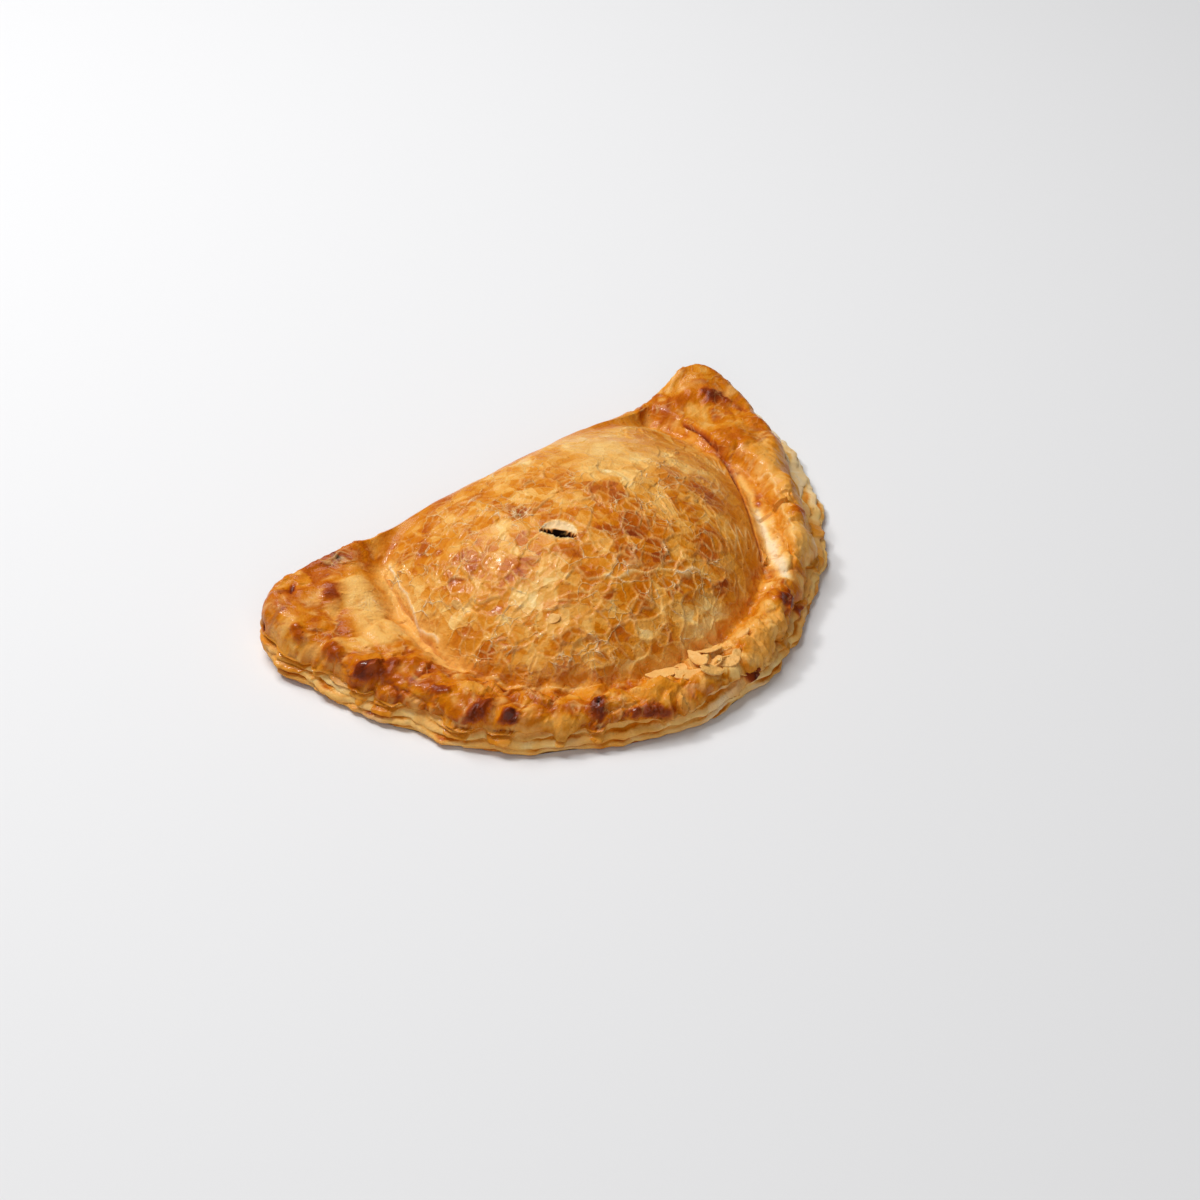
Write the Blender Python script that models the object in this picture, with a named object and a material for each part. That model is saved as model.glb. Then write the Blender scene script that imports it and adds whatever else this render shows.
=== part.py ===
"""Cornish pasty: one D-shaped pastry parcel with a domed middle and a thick crimped rim.

Units are metres. +X runs along the straight fold, -Y points at the middle of the curved rim
and +Z is up. The underside is flat and lies on z = 0, with the origin under the middle of the box.
"""

import math

import bmesh
import bpy

NODE_NAME = "pasty"
MM = 0.001

# Plan of the parcel.
LENGTH = 190 * MM               # tip to tip along the fold
DEPTH = 115.5 * MM              # fold to the front of the rim
RIM_POWER = 2.1                 # 2 is an ellipse, more is squarer
FOLD_Y = DEPTH / 2              # line through the two tips
FOLD_DIP = 2.4 * MM             # the fold is drawn in this much at its middle
RIM_LEAN = 18 * MM              # the front of the rim leans this much towards -X
TIP_ROUND = 14 * MM             # rounding of the outline at each tip
UNDERCUT = 3.2 * MM             # how far the underside is drawn in under the rim

# Unevenness of the hand-shaped outline: the place seen from above, how far round it is felt, and
# how far out (or in, below 0) the outline moves there.
UNEVEN_PLACES = [tuple(m * MM for m in place) for place in (
    (-86, -8, 18, -1.6),
    (-58, -50, 26, -4.3),
    (-2, -58, 20, -0.5),
    (34, -42, 18, -2.6),
    (70, -10, 22, -1.6),
    (62, 58, 10, -2.6),
)]

# Dome over the filling.
DOME_X = -4.5 * MM
DOME_Y = 14 * MM
DOME_LEAN = 0.13                # sideways lean of the dome for each unit of y
DOME_HALF_LENGTH = 59.5 * MM
DOME_FRONT = 54.5 * MM
DOME_BACK = 48.0 * MM           # reaches past the fold, which rounds it off
DOME_FRONT_POWER = 2.0
DOME_BACK_POWER = 3.2           # the dome is round on top and squarer at its foot along the fold
DOME_TOP = 33.5 * MM
FRONT_FLANK = 0.80              # 0.5 is an upright foot, 1 a foot that slopes
BACK_FLANK = 0.50
FLANK_TURN = 1.2                # share of the half-turn over which the flank changes

# Crease, rim and sides.
CREASE_Z = 8.5 * MM             # lowest height of the crease
CREASE_DROP = 4.0 * MM          # the crease lies at most this far below the rim
CREASE_BLEND = 2.2 * MM         # how softly the dome runs into the rim
DOME_DIVE = 0.9                 # slope at which the dome's foot dives below the rim
RIM_MIDDLE_Z = 5.2 * MM         # height at which the rim is widest
FOLD_MIDDLE_Z = 9.0 * MM        # height at which the fold is widest
RIM_EDGE = 8.0 * MM             # rounding of the rim's top edge
FOLD_EDGE = 17.0 * MM           # rounding of the fold
RIM_CLIMB = 7.5 * MM            # width over which the rim climbs out of the crease

# Height of the pastry outside the crease, at equal steps round the outline from the middle of the
# fold: to the -X tip, round the front of the rim, and back past the +X tip.
RIM_TOPS = [m * MM for m in (
    14.0, 17.0, 19.5, 18.0, 13.5, 12.0, 11.0, 10.8, 11.0, 11.2,
    12.0, 14.0, 15.0, 15.5, 16.0, 17.0, 15.0, 11.0,
)]

# Crimps pressed along the rim.
CRIMPS = 15
CRIMP_HEIGHT = 2.3 * MM
CRIMP_REACH = 6.2 * MM          # half-length of a crimp along the rim
CRIMP_INSET = 8.5 * MM          # how far a crimp lies inside the outline
CRIMP_WIDTH = 5.5 * MM
CRIMP_BULGE = 0.9 * MM          # how far a crimp pushes the outline out
CRIMP_WANDER = 0.27             # unevenness of the crimps' places, as a share of their spacing
CRIMP_SPREAD = 0.35             # unevenness of their strength
RIM_START = 0.17                # share of the way round at which the fold gives way to the rim

# Steam vent, a slit pressed through the crust.
VENT_X = -21.2 * MM
VENT_Y = 4.4 * MM
VENT_LENGTH = 10.5 * MM
VENT_WIDTH = 2.6 * MM
VENT_DEPTH = 6.5 * MM
VENT_TURN = math.radians(-64)   # direction of the slit seen from above

# Mesh density.
AROUND = 108
DOME_RINGS = 20
RIM_RINGS = 15
TOP_RINGS = DOME_RINGS + RIM_RINGS
SIDE_RINGS = 7
RINGS = TOP_RINGS + SIDE_RINGS + 1
NARROWEST_RIM = 9 * MM          # the rim's rings keep at least this much width along the fold
OUTLINE_SAMPLES = 720
BISECTIONS = 30
VENT_SEGMENTS = 24
VENT_RINGS = 12

CRUST_COLOR = (0.62, 0.31, 0.09, 1.0)
CRUST_ROUGHNESS = 0.45


def clear_scene():
    for item in list(bpy.data.objects):
        bpy.data.objects.remove(item, do_unlink=True)


def new_collection(name, hidden=False):
    group = bpy.data.collections.new(name)
    bpy.context.scene.collection.children.link(group)
    group.hide_render = hidden
    return group


def crust_material():
    material = bpy.data.materials.new("baked_crust")
    material.use_nodes = True
    shader = material.node_tree.nodes["Principled BSDF"]
    shader.inputs["Base Color"].default_value = CRUST_COLOR
    shader.inputs["Roughness"].default_value = CRUST_ROUGHNESS
    shader.inputs["Metallic"].default_value = 0.0
    material.diffuse_color = CRUST_COLOR
    return material


def smooth_step(value):
    held = min(max(value, 0.0), 1.0)
    return held * held * (3 - 2 * held)


def smooth_max(first, second, blend):
    """The larger of two values, with a rounded change-over as wide as blend."""
    overlap = max(blend - abs(first - second), 0.0) / blend
    return max(first, second) + overlap * overlap * blend / 4


def quarter_round(share):
    """Height of a quarter circle: 0 with an upright start at 0, level at 1."""
    held = min(max(share, 0.0), 1.0)
    return math.sqrt(1 - (1 - held) ** 2)


def power_norm(x, y, power):
    return (abs(x) ** power + abs(y) ** power) ** (1 / power)


def outline_gap(x, y):
    """Roughly how far a point is outside (+) or inside (-) the plan outline."""
    depth_share = max(FOLD_Y - y, 0.0) / DEPTH
    across = (x + RIM_LEAN * depth_share ** 2) / (LENGTH / 2)
    rim_gap = (power_norm(across, depth_share, RIM_POWER) - 1) * LENGTH / 2
    middle_share = 1 - min(abs(x) / (LENGTH / 2), 1.0)
    fold_gap = y - FOLD_Y + FOLD_DIP * smooth_step(2 * middle_share)
    return smooth_max(rim_gap, fold_gap, TIP_ROUND)


def outline_shift(x, y):
    """How far out the hand-shaped outline is moved near a point of the plain one."""
    shift = 0.0
    for place_x, place_y, spread, out in UNEVEN_PLACES:
        away = math.hypot(x - place_x, y - place_y) / spread
        shift += out * math.exp(-away * away)
    return shift


def outline_reach(angle):
    """Distance from the dome's middle to the outline along an angle."""
    near, far = 0.0, LENGTH
    for _ in range(BISECTIONS):
        middle = (near + far) / 2
        x = DOME_X + middle * math.cos(angle)
        y = DOME_Y + middle * math.sin(angle)
        if outline_gap(x, y) > 0:
            far = middle
        else:
            near = middle
    x = DOME_X + near * math.cos(angle)
    y = DOME_Y + near * math.sin(angle)
    return near + outline_shift(x, y)


def outline_walk():
    """Evenly spaced stations round the outline: angle, reach and share of the way round.

    The share runs from 0 at the middle of the fold, past the -X tip, round the front to 1.
    """
    angles = [math.pi / 2 + 2 * math.pi * k / OUTLINE_SAMPLES for k in range(OUTLINE_SAMPLES + 1)]
    reaches = [outline_reach(angle) for angle in angles]
    spots = [(r * math.cos(a), r * math.sin(a)) for a, r in zip(angles, reaches)]
    walked = [0.0]
    for start, end in zip(spots, spots[1:]):
        walked.append(walked[-1] + math.dist(start, end))
    stations = []
    place = 0
    for k in range(AROUND):
        target = walked[-1] * k / AROUND
        while walked[place + 1] < target:
            place += 1
        part = (target - walked[place]) / (walked[place + 1] - walked[place])
        angle = angles[place] + part * (angles[place + 1] - angles[place])
        stations.append((angle, outline_reach(angle), k / AROUND))
    return stations, walked[-1]


def crease_norm(x, y, back_power):
    """0 at the dome's middle and 1 on the crease, growing evenly along any ray."""
    over = y - DOME_Y
    across = (x - DOME_X - DOME_LEAN * over) / DOME_HALF_LENGTH
    if over < 0:
        return power_norm(across, over / DOME_FRONT, DOME_FRONT_POWER)
    return power_norm(across, over / DOME_BACK, back_power)


def dome_height(x, y):
    """Height of the dome: round levels on top, a sloping flank in front, a steep one at the fold."""
    square = crease_norm(x, y, DOME_BACK_POWER)
    if square >= 1:
        return CREASE_Z - DOME_DIVE * (square - 1) * DOME_FRONT
    level = crease_norm(x, y, DOME_FRONT_POWER)
    level += (square - level) * smooth_step(square)
    forward = (1 - math.sin(math.atan2(y - DOME_Y, x - DOME_X))) / FLANK_TURN
    flank = BACK_FLANK + (FRONT_FLANK - BACK_FLANK) * smooth_step(forward)
    return CREASE_Z + (DOME_TOP - CREASE_Z) * (1 - level * level) ** flank


def rim_top(along):
    """Height of the rim's crown at a share of the way round, run smoothly through RIM_TOPS."""
    step = along * len(RIM_TOPS)
    first = int(step) % len(RIM_TOPS)
    second = (first + 1) % len(RIM_TOPS)
    return RIM_TOPS[first] + smooth_step(step - int(step)) * (RIM_TOPS[second] - RIM_TOPS[first])


def fold_to_rim(along, at_fold, at_rim):
    """A value that changes smoothly from the middle of the fold to the rim."""
    from_fold = min(along, 1 - along)
    return at_fold + (at_rim - at_fold) * smooth_step(from_fold / RIM_START)


def crimp_places():
    """Each crimp's share of the way round and its strength, a little uneven."""
    places = []
    for k in range(CRIMPS):
        wander = CRIMP_WANDER * math.sin(7.3 * k + 1.1)
        strength = 1 + CRIMP_SPREAD * math.sin(4.7 * k + 0.6)
        place = RIM_START + (1 - 2 * RIM_START) * (k + 0.5 + wander) / CRIMPS
        places.append((place, strength))
    return places


def crimp_press(along, round_length, crimps):
    """Sum of the crimps' pressing at a share of the way round."""
    total = 0.0
    for place, strength in crimps:
        offset = (along - place) * round_length / CRIMP_REACH
        total += strength * math.exp(-offset * offset)
    return total


def rim_height(inset, outside, along, press):
    """Height of the rim at a distance in from the outline and a distance outside the crease."""
    top = rim_top(along)
    crease_z = max(CREASE_Z, top - CREASE_DROP)
    offset = (inset - CRIMP_INSET) / CRIMP_WIDTH
    crimp = CRIMP_HEIGHT * press * math.exp(-offset * offset)
    return crease_z + (top + crimp - crease_z) * smooth_step(outside / RIM_CLIMB)


def top_height(x, y, inset, outside, along, press):
    """Dome and rim run together, rounded off towards the outline."""
    crown = smooth_max(dome_height(x, y), rim_height(inset, outside, along, press), CREASE_BLEND)
    middle = fold_to_rim(along, FOLD_MIDDLE_Z, RIM_MIDDLE_Z)
    edge = fold_to_rim(along, FOLD_EDGE, RIM_EDGE)
    return middle + (crown - middle) * quarter_round(inset / edge)


def ray_share(ring, crease_share, reach):
    """Share of a ray that a ring of the top lies at, with one ring on the crease."""
    bend = min(crease_share, 1 - NARROWEST_RIM / reach)
    if ring <= DOME_RINGS:
        return bend * math.sin(0.5 * math.pi * ring / DOME_RINGS)
    out = (ring - DOME_RINGS) / RIM_RINGS
    return bend + (1 - bend) * (0.5 * out + 0.5 * math.sin(0.5 * math.pi * out))


def top_point(station, ring, round_length, crimps):
    """A point of the top, where a ring crosses the ray to a station of the outline."""
    angle, reach, along = station
    press = crimp_press(along, round_length, crimps)
    full_reach = reach + CRIMP_BULGE * press
    edge_norm = crease_norm(
        DOME_X + full_reach * math.cos(angle), DOME_Y + full_reach * math.sin(angle), DOME_BACK_POWER,
    )
    share = ray_share(ring, 1 / edge_norm, full_reach)
    x = DOME_X + full_reach * share * math.cos(angle)
    y = DOME_Y + full_reach * share * math.sin(angle)
    inset = full_reach * (1 - share)
    outside = full_reach * (share - 1 / edge_norm)
    return x, y, top_height(x, y, inset, outside, along, press)


def ring_point(ring, station, round_length, crimps):
    """A point of the skin: rings run down from the top, over the side and in under the body."""
    if ring <= TOP_RINGS:
        return top_point(station, ring, round_length, crimps)
    edge_x, edge_y, edge_z = top_point(station, TOP_RINGS, round_length, crimps)
    turn = 0.5 * math.pi * (ring - TOP_RINGS) / SIDE_RINGS
    inset = UNDERCUT * (1 - math.cos(turn))
    angle = station[0]
    x = edge_x - inset * math.cos(angle)
    y = edge_y - inset * math.sin(angle)
    return x, y, edge_z * (1 - math.sin(turn))


def shape_body(body):
    """Moves each ring of a unit sphere onto the pasty's skin."""
    stations, round_length = outline_walk()
    crimps = crimp_places()
    for vertex in body.verts:
        ring = round(math.acos(max(-1.0, min(1.0, vertex.co.z))) / math.pi * RINGS)
        if ring == RINGS:
            vertex.co = (DOME_X, DOME_Y, 0.0)
            continue
        turn = math.atan2(vertex.co.y, vertex.co.x) / (2 * math.pi)
        station = stations[round(turn * AROUND) % AROUND]
        vertex.co = ring_point(ring, station, round_length, crimps)


def centre_over_origin(mesh):
    """Slides the mesh so that its box is centred over the origin."""
    for axis in (0, 1):
        values = [vertex.co[axis] for vertex in mesh.vertices]
        middle = (min(values) + max(values)) / 2
        for vertex in mesh.vertices:
            vertex.co[axis] -= middle


def build_body(group):
    mesh = bpy.data.meshes.new(NODE_NAME)
    shell = bmesh.new()
    bmesh.ops.create_uvsphere(shell, u_segments=AROUND, v_segments=RINGS, radius=1.0)
    shape_body(shell)
    bmesh.ops.recalc_face_normals(shell, faces=shell.faces)
    shell.to_mesh(mesh)
    shell.free()
    centre_over_origin(mesh)
    mesh.shade_smooth()
    mesh.materials.append(crust_material())
    body = bpy.data.objects.new(NODE_NAME, mesh)
    group.objects.link(body)
    return body


def crust_height_at(body, x, y):
    """Height of the crust under a point, found by looking straight down on the body."""
    above = (x, y, 2 * DOME_TOP)
    found, spot, _, _ = body.ray_cast(above, (0.0, 0.0, -1.0))
    return spot.z if found else DOME_TOP


def cut_vent(body, cutters):
    """Sinks the slit into the crust with a flattened ball, deeper than it is wide."""
    mesh = bpy.data.meshes.new("vent_cutter")
    blade = bmesh.new()
    bmesh.ops.create_uvsphere(blade, u_segments=VENT_SEGMENTS, v_segments=VENT_RINGS, radius=0.5)
    bmesh.ops.scale(blade, vec=(VENT_LENGTH, VENT_WIDTH, 2 * VENT_DEPTH), verts=blade.verts)
    blade.to_mesh(mesh)
    blade.free()
    cutter = bpy.data.objects.new("vent_cutter", mesh)
    cutters.objects.link(cutter)
    cutter.location = (VENT_X, VENT_Y, crust_height_at(body, VENT_X, VENT_Y))
    cutter.rotation_euler = (0.0, 0.0, VENT_TURN)
    cutter.hide_render = True
    cutter.display_type = "WIRE"
    slit = body.modifiers.new("vent", "BOOLEAN")
    slit.operation = "DIFFERENCE"
    slit.solver = "EXACT"
    slit.object = cutter


def main():
    clear_scene()
    pasty_group = new_collection("cornish_pasty")
    cutter_group = new_collection("cutters", hidden=True)
    body = build_body(pasty_group)
    bpy.context.view_layer.update()
    cut_vent(body, cutter_group)


main()
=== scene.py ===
"""Looks of the cornish pasty: the baked, egg-glazed crust, its flakes, burnt knobs, pastry layers
and steam vent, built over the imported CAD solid, with a plain studio round it.

Sizes are in millimetres until a mesh is written, which is in metres. +X runs along the fold, -Y
points at the middle of the crimped rim and +Z is up, as in the CAD solid.
"""

import logging
import math
from dataclasses import dataclass, field
from enum import Enum

import bpy
import numpy as np
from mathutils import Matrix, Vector, kdtree


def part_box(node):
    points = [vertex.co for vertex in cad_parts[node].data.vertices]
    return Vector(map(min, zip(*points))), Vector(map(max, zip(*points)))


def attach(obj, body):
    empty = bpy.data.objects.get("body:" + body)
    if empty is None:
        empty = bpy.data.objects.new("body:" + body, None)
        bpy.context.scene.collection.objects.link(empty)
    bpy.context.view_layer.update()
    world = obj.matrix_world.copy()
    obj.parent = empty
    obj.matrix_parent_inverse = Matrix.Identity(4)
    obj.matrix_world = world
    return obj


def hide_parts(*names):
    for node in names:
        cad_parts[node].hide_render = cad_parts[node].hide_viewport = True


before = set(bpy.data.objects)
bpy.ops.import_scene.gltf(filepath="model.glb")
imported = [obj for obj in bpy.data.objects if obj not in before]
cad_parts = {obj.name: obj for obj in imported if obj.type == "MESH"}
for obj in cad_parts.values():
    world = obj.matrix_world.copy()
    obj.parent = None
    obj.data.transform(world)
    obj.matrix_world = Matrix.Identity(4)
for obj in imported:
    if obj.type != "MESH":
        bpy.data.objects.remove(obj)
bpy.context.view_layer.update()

LOG = logging.getLogger("pasty")
MM = 0.001
SOLID = "pasty"
BODY = "root"
HAIR = 1e-6                  # a difference too small to matter


# ---------------------------------------------------------------------------------------------
# Small helpers
# ---------------------------------------------------------------------------------------------


def ease(values: np.ndarray) -> np.ndarray:
    """Smooth step from 0 to 1 over values from 0 to 1."""
    held = np.clip(values, 0.0, 1.0)
    return held * held * (3 - 2 * held)


def ramp(values: np.ndarray, low: float, high: float) -> np.ndarray:
    """Smooth step that is 0 at low and 1 at high."""
    return ease((values - low) / (high - low))


def between(values: np.ndarray, start: tuple[float, float], end: tuple[float, float]) -> np.ndarray:
    """1 between two smooth steps: one up over the start's span, one down over the end's."""
    return ramp(values, *start) * (1 - ramp(values, *end))


def hill(away: np.ndarray, width: float) -> np.ndarray:
    """A rounded hill that is 1 where away is 0 and fades within a few widths."""
    return np.exp(-((away / width) ** 2))


def turned(spots: np.ndarray, x: float, y: float, degrees: float) -> tuple[np.ndarray, np.ndarray]:
    """Distances of spots from (x, y), along and across a direction turned from +X."""
    turn = math.radians(degrees)
    dx, dy = spots[:, 0] - x, spots[:, 1] - y
    return dx * math.cos(turn) + dy * math.sin(turn), dy * math.cos(turn) - dx * math.sin(turn)


def smooth_max(first: np.ndarray, second: np.ndarray, blend: float) -> np.ndarray:
    """The larger of two values, with a rounded change-over as wide as blend."""
    overlap = np.maximum(blend - np.abs(first - second), 0.0) / blend
    return np.maximum(first, second) + overlap * overlap * blend / 4


def quarter_round(share: np.ndarray) -> np.ndarray:
    """Height of a quarter circle: upright at 0, level at 1."""
    held = np.clip(share, 0.0, 1.0)
    return np.sqrt(1 - (1 - held) ** 2)


def power_norm(x: np.ndarray, y: np.ndarray, power: float) -> np.ndarray:
    """Length of (x, y) measured with a power other than 2."""
    return (np.abs(x) ** power + np.abs(y) ** power) ** (1 / power)


def toss(first: np.ndarray, second: np.ndarray | float = 0.0) -> np.ndarray:
    """A repeatable random share from 0 to 1 for each pair of whole numbers."""
    return np.modf(np.abs(np.sin(first * 12.9898 + second * 78.233 + 1.7) * 43758.5453))[0]


def blend_to(values: np.ndarray, aim: np.ndarray | float, weight: np.ndarray) -> np.ndarray:
    """Values drawn towards an aim by a weight from 0 to 1."""
    return values + (aim - values) * weight


class Grain:
    """Smooth, repeatable unevenness in space."""

    def __init__(self, seed: int) -> None:
        """Shuffles the lattice of slopes for one seed."""
        chance = np.random.default_rng(seed)
        self._shuffle = chance.permutation(256).astype(np.int32)
        slopes = chance.normal(size=(3, 256))
        self._slopes = (slopes / np.linalg.norm(slopes, axis=0)).astype(np.float32)

    def at(self, places: np.ndarray, size: float) -> np.ndarray:
        """Unevenness at places.

        Args:
            places: points in millimetres, one a row.
            size: distance over which it changes, in millimetres.

        Returns:
            One value a point, from about -1 to 1.
        """
        cells = (places / size).T.astype(np.float32)
        corner = np.floor(cells)
        part = cells - corner
        whole = corner.astype(np.int32)
        soft = part * part * part * (part * (part * 6 - 15) + 10)
        total = np.zeros(len(places), np.float32)
        for dx in (0, 1):
            first = self._shuffle[(whole[0] + dx) & 255]
            along_x = soft[0] if dx else 1 - soft[0]
            for dy in (0, 1):
                second = self._shuffle[(first + whole[1] + dy) & 255]
                along_xy = along_x * (soft[1] if dy else 1 - soft[1])
                for dz in (0, 1):
                    key = self._shuffle[(second + whole[2] + dz) & 255]
                    weight = along_xy * (soft[2] if dz else 1 - soft[2])
                    slope_x, slope_y, slope_z = (axis[key] for axis in self._slopes)
                    rise = slope_x * (part[0] - dx) + slope_y * (part[1] - dy)
                    total += weight * (rise + slope_z * (part[2] - dz))
        return 1.6 * total.astype(float)

    def layers(self, places: np.ndarray, size: float, octaves: int = 3) -> np.ndarray:
        """Unevenness with finer and finer detail added, each half as strong as the last."""
        total = np.zeros(len(places))
        strength = 1.0
        for _ in range(octaves):
            total += strength * self.at(places + 17.3 * strength, size)
            size, strength = size / 2.1, strength / 2
        return total

    def contour(self, places: np.ndarray, size: float) -> np.ndarray:
        """Signed distance, in millimetres, to the curved edges of sheets of about this size."""
        step = 0.12 * size
        here = self.layers(places, size, 2)
        steep = np.zeros(len(places))
        for axis in np.eye(3):
            steep += ((self.layers(places + step * axis, size, 2) - here) / step) ** 2
        return here / np.maximum(np.sqrt(steep), 0.4 / size)

    def push(self, places: np.ndarray, size: float) -> np.ndarray:
        """A wandering shift, one x, y, z row for each place."""
        shifts = [self.at(places + 31.7 * (k + 1), size) for k in range(3)]
        return np.stack(shifts, axis=1)


@dataclass(frozen=True)
class FlakeNet:
    """A crust broken into irregular flakes round scattered middles."""

    owner: np.ndarray      # which flake each place is in
    other: np.ndarray      # the flake across the nearest edge
    edge: np.ndarray       # distance to that edge, in millimetres
    middles: np.ndarray    # the flakes' middles

    @staticmethod
    def scatter(places: np.ndarray, spacing: float, seed: int) -> "FlakeNet":
        """Scatters flake middles over a skin and finds the flake that each place is in.

        Args:
            places: points of the skin, bent as the flakes' edges should be bent.
            spacing: usual distance between two middles.
            seed: picks the pattern.

        Returns:
            The net of flakes.
        """
        chance = np.random.default_rng(seed)
        order = chance.permutation(len(places))
        cells = np.floor(places[order] / spacing).astype(np.int64)
        key = (cells[:, 0] * 4099 + cells[:, 1]) * 4099 + cells[:, 2]
        _, first = np.unique(key, return_index=True)
        middles = places[order[first]]
        tree = kdtree.KDTree(len(middles))
        for index, middle in enumerate(middles):
            tree.insert(middle, index)
        tree.balance()
        found = np.array([[hit[1] for hit in tree.find_n(place, 2)] for place in places])
        owner, other = found[:, 0], found[:, 1]
        near = ((places - middles[owner]) ** 2).sum(1)
        far = ((places - middles[other]) ** 2).sum(1)
        gap = np.linalg.norm(middles[owner] - middles[other], axis=1)
        return FlakeNet(owner, other, (far - near) / (2 * np.maximum(gap, HAIR)), middles)

    def lines(self, width: float, kept: float) -> np.ndarray:
        """Thin lines on the edges of the share of flakes that is kept."""
        drawn = np.maximum(toss(self.owner), toss(self.other)) > 1 - kept
        return drawn * hill(self.edge, width)

    def tilt(self, places: np.ndarray, size: float) -> np.ndarray:
        """Slope of each flake, about -1 to 1 from its low edge to its high edge."""
        turn = 2 * math.pi * toss(self.owner, 5.0)
        reach = (places - self.middles[self.owner]) / size
        return reach[:, 0] * np.cos(turn) + reach[:, 1] * np.sin(turn)


# ---------------------------------------------------------------------------------------------
# The smooth form, close to the CAD solid's
# ---------------------------------------------------------------------------------------------


@dataclass(frozen=True)
class Bulge:
    """A place where the outline or the crown stands out or falls back, in millimetres."""

    name: str
    x: float
    y: float
    reach: float
    out: float

    def at(self, x: np.ndarray, y: np.ndarray) -> np.ndarray:
        """What the bulge adds at points."""
        return self.out * hill(np.hypot(x - self.x, y - self.y), self.reach)


@dataclass(frozen=True)
class PastyForm:
    """Smooth form of the parcel, in millimetres. It is close to the CAD solid's, with lower crimps,
    because the rim's lumps come as relief, and with a skirt for the side's pastry layers.
    """

    length: float = 190.0
    depth: float = 115.5
    rim_power: float = 2.1
    fold_dip: float = 2.4
    rim_lean: float = 18.0
    tip_round: float = 14.0
    undercut: float = 3.2
    skirt_at: tuple[float, ...] = (
        0.0, 0.15, 0.20, 0.24, 0.30, 0.36, 0.42, 0.46, 0.50, 0.54,
        0.58, 0.62, 0.66, 0.70, 0.75, 0.80, 0.84, 0.87, 1.0,
    )
    skirt_widths: tuple[float, ...] = (
        0.0, 0.0, 1.4, 2.6, 3.0, 3.0, 2.6, 2.4, 2.6, 3.4,
        3.2, 4.4, 7.4, 8.8, 8.4, 6.4, 3.0, 0.0, 0.0,
    )
    lip_heights: tuple[float, ...] = (
        9.0, 9.0, 8.6, 8.0, 7.0, 6.6, 6.6, 6.8, 7.2, 7.0,
        6.8, 7.2, 8.0, 8.6, 8.6, 8.4, 8.6, 9.0, 9.0,
    )
    stepped_from: tuple[float, float] = (0.0, 1.6)    # skirt widths: rounded side, layered side
    hem_span: tuple[float, float] = (0.10, 0.78)      # shares of the way down the side
    under_lip: float = 1.1       # how far the side falls back below the lip
    under_lip_at: float = 0.17
    under_lip_span: float = 0.09
    foot_back: float = 1.3       # how far the hem falls back to the foot
    foot_span: tuple[float, float] = (0.84, 1.0)
    roll_start: tuple[float, float] = (0.655, 0.70)   # shares of the way round: the +X side's roll
    roll_end: tuple[float, float] = (0.80, 0.845)
    roll_climb: float = 4.3      # distance over which the roll climbs to its crown
    strip_end: tuple[float, float] = (0.71, 0.76)     # a flat strip between the dome and the roll
    strip_width: float = 4.0
    dome_x: float = -4.5
    dome_y: float = 14.0
    dome_lean: float = 0.13
    dome_half_length: float = 59.5
    dome_front: float = 54.5
    dome_back: float = 48.0
    front_power: float = 2.0
    back_power: float = 3.2
    dome_top: float = 33.5
    front_flank: float = 0.80
    back_flank: float = 0.50
    flank_turn: float = 1.2
    crease_z: float = 8.5
    crease_drop: float = 4.0
    crease_blend: float = 2.2
    dome_dive: float = 0.9
    rim_edge: float = 5.5
    fold_edge: float = 17.0
    rim_climb: float = 7.5
    rim_start: float = 0.17
    narrowest_rim: float = 9.0
    crimps: int = 15
    crimp_height: float = 0.7
    crimp_reach: float = 6.2
    crimp_inset: float = 8.5
    crimp_width: float = 5.5
    crimp_bulge: float = 0.9
    crimp_wander: float = 0.27
    crimp_uneven: float = 0.35
    rim_tops: tuple[float, ...] = (
        14.0, 17.0, 19.5, 18.0, 13.5, 12.0, 11.0, 10.8, 11.0, 11.2,
        12.0, 14.0, 15.0, 15.5, 16.0, 17.4, 14.0, 11.0,
    )
    ridge_reach: float = 9.0     # how far the fold's ridge reaches in from the outline
    ridge_fall: float = 0.55     # fall for each millimetre further in
    ridge_blend: float = 5.0
    ridge_end: tuple[float, float] = (0.165, 0.215)
    ridge: tuple[tuple[float, float], ...] = (       # x and height along the fold
        (-95, 8), (-80, 15), (-66, 17.4), (-52, 18.4), (-38, 21.6), (-20, 24.4), (0, 25.4),
        (18, 24.2), (36, 21.2), (52, 17.2), (64, 14.4), (74, 17.4), (84, 20.4), (95, 12),
    )
    bulges: tuple[Bulge, ...] = (
        Bulge("front right", -2, -58, 20, -0.5),
        Bulge("right corner", 34, -42, 18, -2.6),
        Bulge("right", 70, -10, 22, -1.6),
        Bulge("front", -58, -50, 26, -4.3),
        Bulge("front left", -86, -8, 18, -1.6),
        Bulge("right neck", 62, 58, 10, -2.6),
    )
    swells: tuple[Bulge, ...] = (
        Bulge("dome, back right", 30, 40, 20, -2.0),
        Bulge("dome, back", 8, 52, 14, -0.8),
        Bulge("dome, left flank", -46, 20, 14, 0.8),
        Bulge("dome, upper right foot", 56.5, 30, 6, 1.7),
        Bulge("dome, right foot", 54.5, 19, 6, 1.7),
        Bulge("left corner", -50, 50, 9, 1.6),
        Bulge("right tip", 79, 49, 10, 3.4),
    )
    steps: int = 2880
    halvings: int = 40
    table: dict[str, np.ndarray] = field(default_factory=dict)

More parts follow.
